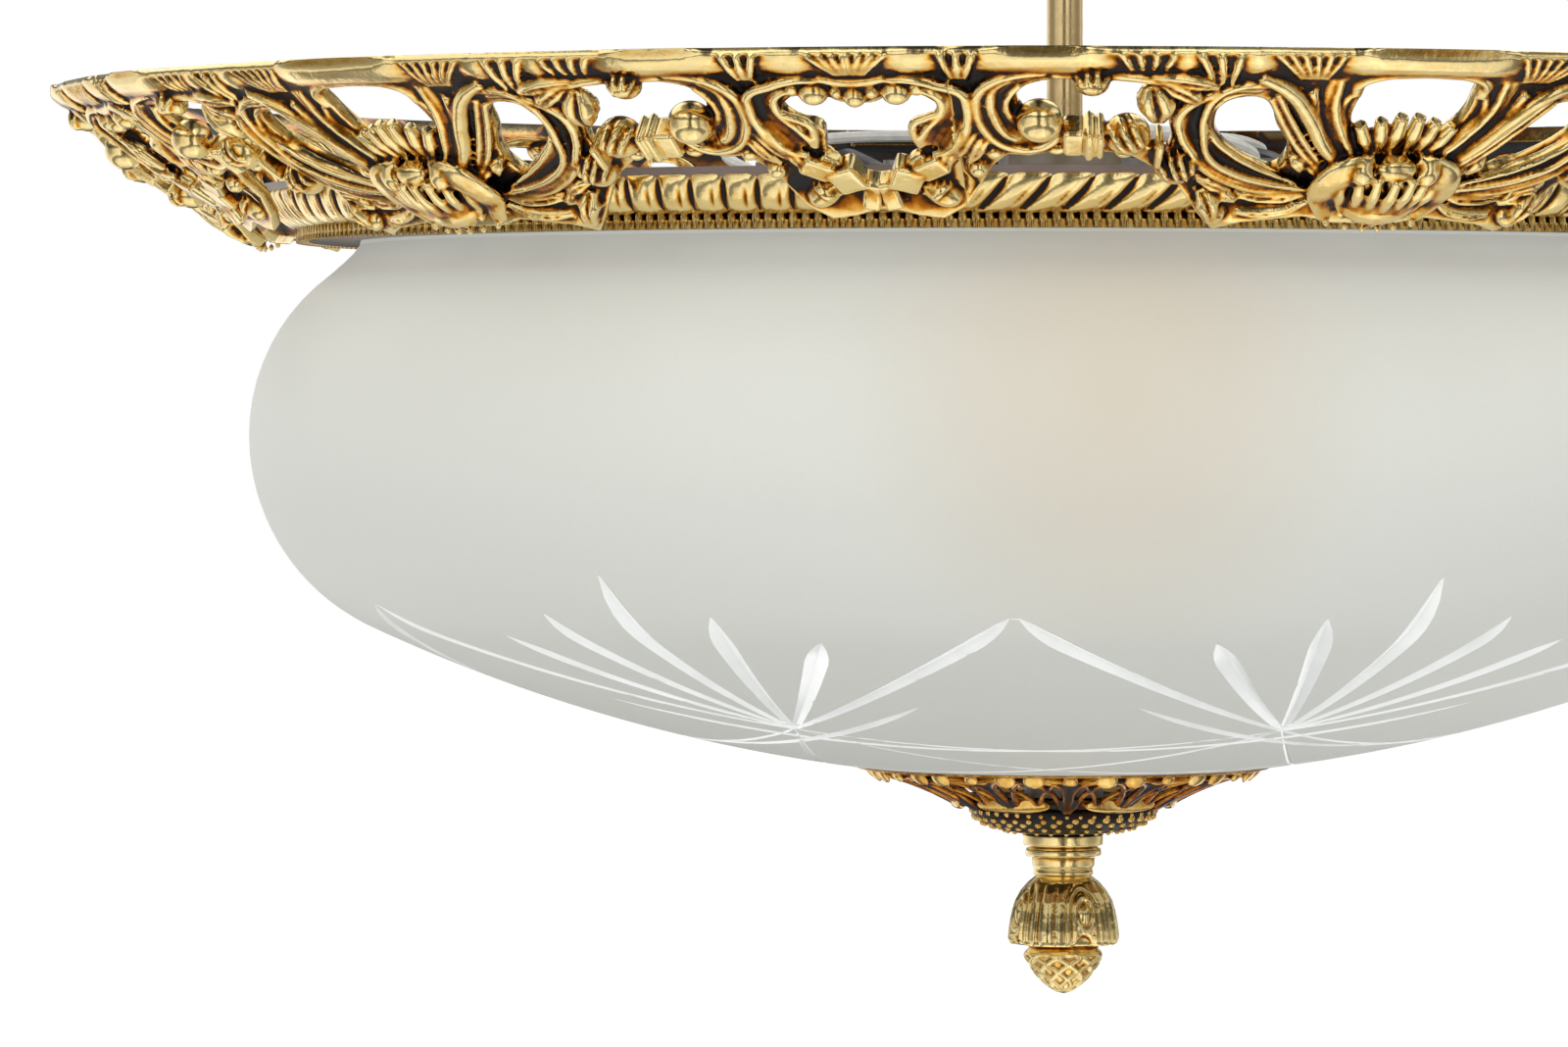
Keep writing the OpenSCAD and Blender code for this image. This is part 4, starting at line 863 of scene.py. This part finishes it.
def knob_mesh():
    """Round and blocky forms of the half pattern."""
    bm = bmesh.new()
    for form in KNOBS:
        bmesh.ops.create_icosphere(bm, subdivisions=3, radius=1, matrix=form_place(*form))
    for form in BLOCKS:
        block = bmesh.ops.create_cube(bm, size=2, matrix=form_place(*form))["verts"]
        bmesh.ops.bevel(bm, geom=list({e for v in block for e in v.link_edges}), offset=0.9,
                        segments=2, profile=0.5, affect="EDGES", material=-1)
    return mesh_of(bm, "knobs")


def fuse(meshes, voxel, faces):
    """One skin over a heap of closed meshes, like a casting from its wax."""
    bm = bmesh.new()
    for mesh in meshes:
        bm.from_mesh(mesh)
        bpy.data.meshes.remove(mesh)
    piece = scratch("wax", mesh_of(bm, "wax"))
    remesh = piece.modifiers.new("skin", "REMESH")
    remesh.mode = "VOXEL"
    remesh.voxel_size = voxel
    remesh.adaptivity = 0
    soften = piece.modifiers.new("soften", "SMOOTH")
    soften.factor = 0.5
    soften.iterations = 1
    skin = evaluated_mesh(piece)
    discard(piece)
    total = sum(p.loop_total - 2 for p in skin.polygons)
    if total <= faces:
        return skin
    piece = scratch("skin", skin)
    piece.modifiers.new("thin", "DECIMATE").ratio = faces / total
    thinned = evaluated_mesh(piece)
    discard(piece)
    return thinned


def cut(bm, x, keep_right):
    """Cut a bmesh with the plane at x and drop one side."""
    bmesh.ops.bisect_plane(bm, geom=bm.verts[:] + bm.edges[:] + bm.faces[:], dist=1e-4,
                           plane_co=(x, 0, 0), plane_no=(1, 0, 0),
                           clear_inner=keep_right, clear_outer=not keep_right)


def bend_to_crown(places):
    """Wrap flat pattern places round the first casting's axis, in metres."""
    table = np.array(SLOPE)
    across, along, off = places.T
    r = np.interp(along, table[:, 0], table[:, 1]) + FACE_OUT.x * off
    z = np.interp(along, table[:, 0], table[:, 2]) + FACE_OUT.y * off
    r = np.minimum(r, RIM_LIMIT)
    z = np.minimum(z, RIM_TOP)
    angle = np.radians(across / DEG_MM + FIRST_FLOWER)
    return np.stack([r * np.cos(angle), r * np.sin(angle), z + RING_Z], axis=1) * MM


def casting_mesh():
    """One casting: the half pattern, its mirror, and the far end cut off and put beside the next."""
    groups = all_strokes()
    parts = [plate_mesh(), knob_mesh()] + [stroke_curve(kind, s) for kind, s in groups.items() if s]
    voxel = setting("crown").skin / MM
    half = fuse(parts, voxel, 92000)
    near, joint, far = 0.0, -25 * DEG_MM, -30 * DEG_MM
    gap = 0.05
    bm = bmesh.new()
    for low, high, mirrored, shift in ((joint + gap, near, False, 0), (far, near, True, 0),
                                       (far, joint - gap, False, SECTOR * DEG_MM)):
        part = bmesh.new()
        part.from_mesh(half)
        cut(part, low, True)
        cut(part, high, False)
        if mirrored:
            bmesh.ops.scale(part, vec=(-1, 1, 1), verts=part.verts)
            bmesh.ops.reverse_faces(part, faces=part.faces)
        bmesh.ops.translate(part, vec=(shift, 0, 0), verts=part.verts)
        piece = mesh_of(part, "part")
        bm.from_mesh(piece)
        bpy.data.meshes.remove(piece)
    bpy.data.meshes.remove(half)
    bmesh.ops.remove_doubles(bm, verts=bm.verts, dist=0.002)
    bmesh.ops.holes_fill(bm, edges=[e for e in bm.edges if e.is_boundary], sides=0)
    bmesh.ops.recalc_face_normals(bm, faces=bm.faces)
    mesh = mesh_of(bm, "crown_casting")
    # Painted shade: faces that turn to the back of the plate are darkened through the relief level
    painted_back_shade = np.clip(-vertex_array(mesh, "normal")[:, 2] - 0.35, 0, 0.4)
    put_vertices(mesh, bend_to_crown(vertex_array(mesh)))
    fine, broad = relief_depth(mesh, 4, 0.30 * MM), relief_depth(mesh, 20, 1.5 * MM)
    write_cavity(mesh, 0.55 * fine + 0.32 * broad - painted_back_shade)
    return mesh


class LIGHT_OT_crown(bpy.types.Operator):
    """Cast the six pieces of the crown"""

    bl_idname = "light.crown"
    bl_label = "Crown castings"

    def execute(self, context):
        first = casting_mesh()
        for i in range(CASTINGS):
            mesh = first.copy()
            mesh.transform(turned_to(SECTOR * i))
            piece = make_object(f"crown_{i + 1}", mesh, "root", "antique_gold", "antique_gold")
            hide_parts(f"crown_casting_{i + 1}")
        bpy.data.meshes.remove(first)
        return {"FINISHED"}


# Ring mouldings

def ring_relief(name, columns, rows, shape):
    """A closed ring: a grid whose radius and height come from shape(turn, rise), both in 0-1."""
    bm = bmesh.new()
    bmesh.ops.create_grid(bm, x_segments=columns, y_segments=rows, size=0.5)
    for v in bm.verts:
        turn = v.co.x + 0.5
        r, z = shape(turn, v.co.y + 0.5)
        angle = 2 * math.pi * turn + math.radians(FIRST_FLOWER)
        v.co = Vector((r * math.cos(angle), r * math.sin(angle), z + RING_Z)) * MM
    bmesh.ops.remove_doubles(bm, verts=bm.verts, dist=1e-6)
    bmesh.ops.bridge_loops(bm, edges=[e for e in bm.edges if e.is_boundary])
    bmesh.ops.recalc_face_normals(bm, faces=bm.faces)
    return mesh_of(bm, name)


def rope_shape(turn, rise):
    """Rope moulding: slanting lobes, wider and more slanted to the left of each flower."""
    half = SECTOR / 2
    a = (turn * 360 + half) % SECTOR - half
    slant = 3.2 if a < 0 else 0.9
    lean = slant * (rise ** 0.8 - 0.5) + (0.5 if a < 0 else 0)
    count = (a + half - lean) / ROPE_WIDE if a - lean < 0 else (
        half / ROPE_WIDE + (a - lean) / ROPE_NARROW)
    total = half / ROPE_WIDE + half / ROPE_NARROW
    u = 2 * ((count / total * ROPE_LOBES) % 1) - 1
    crown = (1 - abs(u) ** 2.6)
    crown -= 0.34 * math.exp(-((u - 0.34) / 0.13) ** 2) * math.sin(math.pi * min(rise * 1.15, 1))
    arch = math.sin(math.pi * min(max(0.02 + rise * 0.96, 0), 1)) ** 0.55
    out = setting("crown").lobe / MM * arch * (0.3 + 0.7 * max(crown, 0) ** 0.6)
    return ROPE_R + 9.6 * rise + 0.80 * out, ROPE_Z + 10.8 * rise - 0.5 * out


def tooth_shape(turn, rise):
    """Toothed ring: narrow bars over a sunk band with a fine line, on a narrow foot."""
    u = 2 * ((turn * TEETH) % 1) - 1
    bar = max(0, 1 - (abs(u) / 0.6) ** 2) ** 0.6
    foot = max(0, 1 - (rise / 0.24) ** 2)
    line = math.exp(-((rise - 0.55) / 0.08) ** 2)
    out = setting("crown").tooth / MM * max(bar, 0.85 * foot) - 0.3 * line * (1 - bar)
    return TEETH_R + out, 4.3 * rise - 0.3


class LIGHT_OT_ring(bpy.types.Operator):
    """Turn the rope moulding and the toothed ring"""

    bl_idname = "light.ring"
    bl_label = "Ring mouldings"

    def execute(self, context):
        rope = ring_relief("rope_moulding", CASTINGS * ROPE_LOBES * 22, 12, rope_shape)
        # Rope: a low level, so its grooves take painted shade on top of their patina
        write_cavity(rope, 0.8 * relief_depth(rope, 10, 0.5 * MM) - 0.24)
        piece = make_object("rope_moulding", rope, "root", "antique_gold", "antique_gold")
        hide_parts("rope_ring")
        teeth = ring_relief("toothed_ring", TEETH * 10, 9, tooth_shape)
        # Teeth: a raised level, so the bars' tops are painted pale, partly as a painted highlight
        write_cavity(teeth, 0.44 + 0.3 * relief_depth(teeth, 4, 0.3 * MM))
        piece = make_object("toothed_ring", teeth, "root", "antique_gold", "antique_gold")
        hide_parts("knurled_ring")
        return {"FINISHED"}


# Bowl

def polar(r, degrees, cx=0, cy=0):
    """Plane point r from a centre, at an angle."""
    t = math.radians(degrees)
    return Vector((cx + r * math.cos(t), cy + r * math.sin(t)))


def arc_points(cx, cz, radius, start, stop, steps):
    return [(cx + radius * math.cos(math.radians(start + (stop - start) * i / steps)),
             cz + radius * math.sin(math.radians(start + (stop - start) * i / steps)))
            for i in range(steps + 1)]


def bowl_outline(offset=0.0):
    """Bowl's outer wall from the hole to the neck's top, moved inwards by offset."""
    belly_h = BELLY_Z - BOWL_Z
    side_cx = BELLY_R - SIDE_R
    base_r = (side_cx ** 2 + belly_h ** 2 - SIDE_R ** 2) / (2 * (belly_h - SIDE_R))
    base_cz = base_r + BOWL_Z
    join = math.degrees(math.atan2(BELLY_Z - base_cz, side_cx))
    hole = math.degrees(math.asin(HOLE_R / (base_r - offset)))
    points = arc_points(0, base_cz, base_r - offset, -90 + hole, join, 60)
    points += arc_points(side_cx, BELLY_Z, SIDE_R - offset, join, 0, 24)[1:]
    shoulder_cx = BELLY_R - SHOULDER_R
    neck = NECK_R - offset
    stop = math.degrees(math.acos(min(1, (neck - shoulder_cx) / (SHOULDER_R - offset))))
    points += arc_points(shoulder_cx, BELLY_Z, SHOULDER_R - offset, 0, stop, 24)[1:]
    if not offset:
        points = [p for p in points if p[1] < -8.6 or p[0] < 180] + list(NECK_CURVE)
    points.append((neck, NECK_TOP))
    return points


def cut_line(start, tip, width, depth, steps, bulge=Vector((0, 0))):
    """A cut that swells towards its tip, as (plan x, plan y, half width, depth) in mm."""
    glass = setting("glass")
    middle = (start + tip) / 2 + bulge
    places = []
    for i in range(steps + 1):
        t = i / steps
        place = start * (1 - t) ** 2 + middle * 2 * t * (1 - t) + tip * t * t
        swell = (0.28 + 0.72 * t ** 0.9) * min(1, (1 - t) * 7 + 0.02) ** 0.6
        places.append((*place, width * swell * glass.cut_width, depth * swell * glass.cut_depth))
    return places


def glass_cuts():
    """Every cut: at each star five rays, two arms, and the lines to the stars beside it."""
    cuts = []
    for n in range(CASTINGS):
        out = FIRST_APEX + SECTOR * n + 30
        node = polar(STAR_R, out)
        for turn, reach in ((0, 213), (7.5, 203), (-7.5, 203), (15, 193), (-15, 193)):
            cuts.append(cut_line(node, polar(reach, out + turn), 3.4, 1.9, 18))
        for side in (-1, 1):
            far = polar(STAR_R, out + side * 120)
            cuts.append(cut_line(node, polar(203.5, out + side * 29.6), 2.9, 1.7, 24,
                                 bulge=polar(10, out + side * 12)))
            if side > 0:
                cuts.append(cut_line(node, far, 1.3, 0.7, 30))
            cuts.append(cut_line(far, polar(150, out + side * 41), 1.8, 1.0, 30))
    return cuts


def wall_grid(outline, along, side, cuts):
    """Points and edges of the wall laid flat: staggered rings, and three rails along each cut."""
    belly = along[side]
    places, edges = [], []
    rings = sorted({*np.arange(along[0], belly - 2, RING_STEP), *along[side::2], *along[-2:]})
    for k, s in enumerate(rings):
        at_edge = k in (0, len(rings) - 1)
        below = s < belly - 3
        count = int(max(18, min(240, 2 * math.pi * s / POINT_STEP))) if below else WALL_STEPS * 2
        count = WALL_STEPS if at_edge else count
        stagger = 0.5 if k % 2 and below and not at_edge else 0
        first = len(places)
        places += [polar(s, 360 * (i + stagger) / count) for i in range(count)]
        if at_edge:
            edges += [(first + i, first + (i + 1) % count) for i in range(count)]
    for line in cuts:
        for sign in (-1, 0, 1):
            first = len(places)
            for i, (x, y, half, depth) in enumerate(line):
                ahead, behind = line[min(i + 1, len(line) - 1)], line[max(i - 1, 0)]
                run = Vector((ahead[0] - behind[0], ahead[1] - behind[1])).normalized()
                px, py = x - run.y * half * sign, y + run.x * half * sign
                s = float(np.interp(math.hypot(px, py), outline[:side, 0], along[:side]))
                places.append(polar(s, math.degrees(math.atan2(py, px))))
            edges += [(i, i + 1) for i in range(first, len(places) - 1)]
    return places, edges


def cut_depths(plan, cuts):
    """Depth of the deepest cut at each place of the plan."""
    depth = np.zeros(len(plan))
    for line in cuts:
        line = np.array(line)
        for p, q in zip(line, line[1:]):
            d = q[:2] - p[:2]
            t = np.clip(((plan - p[:2]) @ d) / (d @ d), 0, 1)
            away = np.hypot(*(plan - p[:2] - t[:, None] * d).T)
            half, deep = p[2] + (q[2] - p[2]) * t, p[3] + (q[3] - p[3]) * t
            depth = np.maximum(depth, deep * (1 - away / np.maximum(half, 0.05)))
    return depth


def outer_wall(outline, cuts):
    """Bmesh of the bowl's outside, with the cuts pressed in and in the second material."""
    along = HOLE_R + lengths(outline)
    side = outline[:, 0].argmax()
    places, edges = wall_grid(outline, along, side, cuts)
    points, _, faces, *_ = delaunay_2d_cdt(places, edges, [], 0, 1e-4)
    flat = np.array([tuple(p) for p in points])
    s = np.hypot(*flat.T)
    angle = np.arctan2(flat[:, 1], flat[:, 0])
    r, z = (np.interp(s, along, outline[:, k]) for k in (0, 1))
    slope_r, slope_z = (np.interp(s, along, np.gradient(outline[:, k], along)) for k in (0, 1))
    plan = np.stack([r * np.cos(angle), r * np.sin(angle)], axis=1)
    depth = np.where(s < along[side], cut_depths(plan, cuts), 0)
    r, z = r - slope_z * depth, z + slope_r * depth
    bm = bmesh.new()
    verts = [bm.verts.new(place) for place in
             np.stack([r * np.cos(angle), r * np.sin(angle), z + RING_Z], axis=1) * MM]
    for face in faces:
        corners = list(face)
        if s[corners].mean() >= along[0]:
            made = bm.faces.new([verts[i] for i in corners])
            made.smooth = True
            made.material_index = int(depth[corners].mean() > 0.08)
    bmesh.ops.delete(bm, geom=[v for v in verts if not v.link_faces], context="VERTS")
    for edge in bm.edges:
        if len(edge.link_faces) == 2 and edge.calc_face_angle(0) > math.radians(14):
            edge.smooth = False
    return bm


class LIGHT_OT_bowl(bpy.types.Operator):
    """Blow the frosted bowl and cut its stars"""

    bl_idname = "light.bowl"
    bl_label = "Glass bowl"

    def execute(self, context):
        outline = np.array(bowl_outline())
        bm = outer_wall(outline, glass_cuts())
        inside = bowl_outline(setting("glass").wall / MM)
        inner = spun(placed([outline[0], *inside, outline[-1]]), WALL_STEPS)
        for face in inner.faces:
            face.smooth = True
        lining = mesh_of(inner, "lining")
        bm.from_mesh(lining)
        bpy.data.meshes.remove(lining)
        rim = [v for v in bm.verts if v.is_boundary]
        bmesh.ops.remove_doubles(bm, verts=rim, dist=2e-5)
        bmesh.ops.recalc_face_normals(bm, faces=bm.faces)
        piece = make_object("cut_bowl", mesh_of(bm, "cut_bowl"), "bowl", "frosted_glass",
                            "frosted_glass", "cut_glass", smooth=False)
        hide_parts("glass_bowl")
        return {"FINISHED"}


# Cap, boss and finial

def lathe(profile, steps=96):
    """Bmesh of a closed turned form from (radius, height) points on its outline."""
    bm = spun(placed(profile), steps)
    bmesh.ops.remove_doubles(bm, verts=bm.verts, dist=1e-6)
    open_edges = [e for e in bm.edges if e.is_boundary]
    if open_edges:
        bmesh.ops.holes_fill(bm, edges=open_edges, sides=0)
    bmesh.ops.recalc_face_normals(bm, faces=bm.faces)
    return bm


def acorn_relief(angle, r, z, fold):
    """How far the acorn's skin stands out at an angle, radius and height."""
    part = (angle + 65 + 45) % 90 - 45
    hem = -193.8 + 3.6 * max(0, 1 - (part / 15) ** 2)
    if z > hem and r > 8.2:
        if abs(part) > 34:
            height = 0.7 - 0.011 * (45 - abs(part)) ** 2
        else:
            u = math.radians(part) * 14.6
            v = z + 184.4
            swirl = math.hypot(u, v / 1.45 if v > 0 else v / (1.7 if abs(u) < 2.2 else 9))
            if swirl < 1.9:
                height = 0.5 - 0.25 * swirl ** 2
            elif swirl < 6.1:
                height = fold * math.cos((swirl - 2.95) * 2 * math.pi / 2.1) - 0.05
            else:
                height = 0.3 * math.cos((swirl - 8.2) * 2 * math.pi / 4.4)
        return height * min(1, max(0, (-175.6 - z) / 3.5))
    if z > -196.5 and r > 8.2:
        return -2.0 * min(1, (hem - z) / 0.5) * min(1, max(0, (z + 196.5) / 2))
    if r > 0.3 and z <= -194:
        rise = (z + 207.6) / 13
        p, q = angle / 360 * 9, rise * 6.2
        lines = max(abs(math.cos(math.pi * (p + q / 2))), abs(math.cos(math.pi * (p - q / 2))))
        return (1.1 * max(0, lines - 0.72) / 0.28 - 0.75) * min(1, rise * 5 + 0.1)
    return 0


def acorn_mesh():
    """Acorn: a cup of nested oval swirls over a scaly nut."""
    fold = setting("finial").fold / MM
    table = np.array(ACORN_OUTLINE)
    along = lengths(table)
    fine = np.linspace(along[1], along[-1], 110)
    bm = lathe([table[0], *zip(*(np.interp(fine, along, table[:, k]) for k in (0, 1)))], 240)
    for v in bm.verts:
        r = math.hypot(v.co.x, v.co.y) / MM
        if r > 1e-3:
            angle = math.degrees(math.atan2(v.co.y, v.co.x))
            grow = 1 + acorn_relief(angle, r, v.co.z / MM - RING_Z, fold) / r
            v.co.x *= grow
            v.co.y *= grow
    mesh = mesh_of(bm, "acorn")
    write_cavity(mesh, 0.42 + 0.7 * relief_depth(mesh, 10, 0.5 * MM))
    return mesh


def cap_place(degrees, r, h):
    """Place under the cap, h mm below its plate, some degrees from the first post."""
    table = np.array(CAP_UNDER)[::-1]
    z = float(np.interp(r, table[:, 0], table[:, 1])) - h
    return Vector((*polar(r, degrees + CAP_TURN), z))


def cap_mesh():
    """Openwork cap: rim and waist rings joined by posts, arches and a crossed lattice."""
    parts = []
    for band in (CAP_UNDER[:2], CAP_UNDER[7:]):
        bm = spun([*band, *((r, z + CAP_THICK) for r, z in reversed(band))], 120, closed=True)
        bmesh.ops.recalc_face_normals(bm, faces=bm.faces)
        parts.append(mesh_of(bm, "cap_ring"))
    groups = {"round": [], "flat": []}
    for i in range(CAP_SECTORS):
        post = i * 360 / CAP_SECTORS
        for side in (-1, 1):
            groups["round"] += [[(cap_place(post + side * a, r, h), w) for a, r, h, w in bar]
                                for bar in CAP_BARS]
        groups["flat"].append([(cap_place(post, r, h), w) for r, h, w in CAP_POST])
    parts += [stroke_curve(kind, s) for kind, s in groups.items()]
    mesh = fuse(parts, 0.42, 110000)
    places = vertex_array(mesh)
    under_bowl = -148.1 + (places[:, 0] ** 2 + places[:, 1] ** 2) / 902
    places[:, 2] = np.minimum(places[:, 2], under_bowl) + RING_Z
    put_vertices(mesh, places * MM)
    write_cavity(mesh, 0.42 * relief_depth(mesh, 8, 0.45 * MM))
    return mesh


def coins_mesh():
    """Coins under the cap's edge, two large and one small in turn, and the lenses at its waist."""
    coin = setting("finial").coin / MM
    bm = bmesh.new()
    for i in range(CAP_SECTORS):
        for turn, size in ((-4.3, coin), (4.3, coin), (15, coin * 0.67)):
            where = (turned_to(i * 360 / CAP_SECTORS - 13 + turn)
                     @ Matrix.Translation((53.6, 0, -145.9 + RING_Z))
                     @ turned_to(-48, "Y") @ Matrix.Diagonal((size, size, 0.9, 1)))
            bmesh.ops.create_icosphere(bm, subdivisions=3, radius=1, matrix=where)
    for i in range(CAP_SECTORS // 2):
        where = (turned_to(i * 60 + 30 + CAP_TURN) @ Matrix.Translation((30.2, 0, -154.0 + RING_Z))
                 @ turned_to(-35, "Y") @ Matrix.Diagonal((3.2, 11.6, 1.7, 1)))
        lens = bmesh.ops.create_icosphere(bm, subdivisions=4, radius=1, matrix=where)["verts"]
        for v in lens:
            reach = math.hypot(v.co.x, v.co.y)
            bend = min(reach, 31 + (reach - 31) * 0.3) / reach
            v.co.x *= bend
            v.co.y *= bend
    bmesh.ops.scale(bm, vec=(MM, MM, MM), verts=bm.verts)
    return mesh_of(bm, "coins")


def beads_mesh():
    """Staggered rows of beads on the boss."""
    bm = bmesh.new()
    for k, (count, r, z, size, turn) in enumerate(BEAD_ROWS):
        for i in range(count):
            odd = math.sin(12.9 * i + 78.2 * k)
            place = (*polar(r, turn + 360 * i / count + 2.4 * odd), z + 0.4 * odd + RING_Z)
            bmesh.ops.create_icosphere(bm, subdivisions=2, matrix=Matrix.Translation(place),
                                       radius=size * (1 + 0.22 * odd) * setting("finial").bead)
    bmesh.ops.scale(bm, vec=(MM, MM, MM), verts=bm.verts)
    return mesh_of(bm, "beads")


class LIGHT_OT_cap(bpy.types.Operator):
    """Model the openwork cap, its coins and lenses, and the beaded boss"""

    bl_idname = "light.cap"
    bl_label = "Cap and boss"

    def execute(self, context):
        boss = mesh_of(lathe(BOSS_OUTLINE), "boss")
        boss = make_object("boss", boss, "bowl", "antique_gold", "dark_gold")
        make_object("boss_beads", beads_mesh(), "bowl", "antique_gold", "plain_gold")
        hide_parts("beaded_boss")
        cap = make_object("openwork_cap", cap_mesh(), "bowl", "antique_gold", "cap_gold")
        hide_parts("bottom_cap")
        make_object("cap_coins", coins_mesh(), "bowl", "antique_gold", "plain_gold")
        return {"FINISHED"}


class LIGHT_OT_finial(bpy.types.Operator):
    """Turn the finial's neck and model its acorn"""

    bl_idname = "light.finial"
    bl_label = "Neck and acorn"

    def execute(self, context):
        neck = mesh_of(lathe(NECK_OUTLINE), "turned_neck")
        write_cavity(neck, 0.36 + 0.7 * relief_depth(neck, 2, 0.5 * MM))
        neck = make_object("turned_neck", neck, "finial", "antique_gold", "antique_gold")
        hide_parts("finial_neck")
        acorn = make_object("acorn", acorn_mesh(), "finial", "antique_gold", "antique_gold")
        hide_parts("acorn_finial")
        return {"FINISHED"}


# Stage

def lay_floor(drop):
    """White floor that keeps the light's shadow and can't be seen in metal or from below."""
    bm = bmesh.new()
    bmesh.ops.create_grid(bm, x_segments=2, y_segments=2, size=30)
    bmesh.ops.translate(bm, vec=(0, 0, -drop), verts=bm.verts)
    floor = scratch("floor", mesh_of(bm, "floor"))
    n = Finish("floor_white")
    n.to("Base Color", n.ramp(n.noise(2, 2), (0.3, 0.72), (0.7, 0.74)))
    n.set(Roughness=0.8)
    path = n.add("ShaderNodeLightPath")
    glow = n.add("ShaderNodeEmission", Strength=1.2)
    clear = n.add("ShaderNodeBsdfTransparent")
    side = n.add("ShaderNodeNewGeometry")
    lit = n.blend(n.math("MULTIPLY", path.outputs["Is Camera Ray"], 0.75), n.shader.outputs[0],
                  glow.outputs[0])
    hidden = n.math("MAXIMUM", path.outputs["Is Glossy Ray"], side.outputs["Backfacing"])
    n.link(n.blend(hidden, lit, clear.outputs[0]), n.output.inputs[0])
    floor.data.materials.append(n.material)


def light_surroundings(level):
    """White to the eye, even for matt surfaces, and banded light and dark for glossy ones."""
    world = bpy.data.worlds.new("studio")
    bpy.context.scene.world = world
    n = Tree(world)
    split = n.add("ShaderNodeSeparateXYZ")
    n.link(n.add("ShaderNodeTexCoord").outputs["Generated"], split.inputs[0])
    sides, below, bands = (
        n.ramp(n.math("MULTIPLY_ADD", split.outputs[axis], 0.5, 0.5), *stops, interpolation="EASE")
        for axis, stops in REFLECTED)
    banded = n.add("ShaderNodeBackground", Strength=1.0)
    n.link(n.math("MULTIPLY", n.math("MAXIMUM", sides, below), bands), banded.inputs[0])
    white = n.add("ShaderNodeBackground", Color=(1, 1, 1, 1), Strength=1.0)
    soft = n.add("ShaderNodeBackground", Color=(1, 1, 1, 1), Strength=level)
    path = n.add("ShaderNodeLightPath")
    lit = n.blend(path.outputs["Is Glossy Ray"], soft.outputs[0], banded.outputs[0])
    seen = n.math("MAXIMUM", path.outputs["Is Camera Ray"], path.outputs["Is Transmission Ray"])
    n.link(n.blend(seen, lit, white.outputs[0]), n.add("ShaderNodeOutputWorld").inputs[0])


def hang_lamp(name, place, size, watts):
    """Square lamp aimed at the light's middle, and not seen in its metal."""
    lamp = bpy.data.lights.new(name, "AREA")
    lamp.shape = "SQUARE"
    lamp.size = size
    lamp.energy = watts
    piece = scratch(name, lamp)
    piece.location = place
    piece.visible_glossy = False
    aim = Vector((0, 0, -0.2)) - Vector(place)
    piece.rotation_euler = aim.to_track_quat("-Z", "Y").to_euler()


def set_camera(scene):
    """Camera at the photograph's place and angle."""
    lens = bpy.data.cameras.new("camera")
    lens.sensor_width = 36
    lens.lens = LENS
    lens.shift_x, lens.shift_y = SHIFT
    lens.clip_end = 60
    camera = scratch("camera", lens)
    camera.location = CAMERA_PLACE
    camera.rotation_euler = (math.pi / 2, CAMERA_ROLL, 0)
    scene.camera = camera
    scene.view_settings.view_transform = "Standard"


class LIGHT_OT_stage(bpy.types.Operator):
    """Set the floor, the white surroundings, the lamps and the camera"""

    bl_idname = "light.stage"
    bl_label = "Stage"

    def execute(self, context):
        stage = setting("stage")
        lay_floor(stage.floor_drop)
        light_surroundings(stage.soft)
        hang_lamp("key", (-1.6, -2.2, 0.0), 1.3, stage.key)
        hang_lamp("fill", (1.8, -2.0, -0.1), 1.3, stage.fill)
        hang_lamp("top", (0.0, 0.3, 1.6), 1.6, stage.top)
        set_camera(context.scene)
        return {"FINISHED"}


PIECES = (LIGHT_OT_stage, LIGHT_OT_finishes, LIGHT_OT_crown, LIGHT_OT_ring, LIGHT_OT_bowl,
          LIGHT_OT_cap, LIGHT_OT_finial)


class LIGHT_PT_panel(bpy.types.Panel):
    """Lists the pieces of the light"""

    bl_idname = "LIGHT_PT_panel"
    bl_label = "Ceiling light"
    bl_space_type = "VIEW_3D"
    bl_region_type = "UI"
    bl_category = "Light"

    def draw(self, context):
        for name, group in SETTINGS.items():
            box = self.layout.box()
            box.label(text=group.__doc__)
            for key in group.__annotations__:
                box.prop(getattr(context.scene, name), key)
        for piece in PIECES:
            self.layout.operator(piece.bl_idname)


CLASSES = (*SETTINGS.values(), *PIECES, LIGHT_PT_panel)


def register():
    for item in CLASSES:
        bpy.utils.register_class(item)
    for name, group in SETTINGS.items():
        setattr(bpy.types.Scene, name, PointerProperty(type=group))


def unregister():
    for name in SETTINGS:
        delattr(bpy.types.Scene, name)
    for item in reversed(CLASSES):
        bpy.utils.unregister_class(item)


def main():
    register()
    for piece in PIECES:
        group, name = piece.bl_idname.split(".")
        getattr(getattr(bpy.ops, group), name)()


if __name__ == "__main__":
    main()
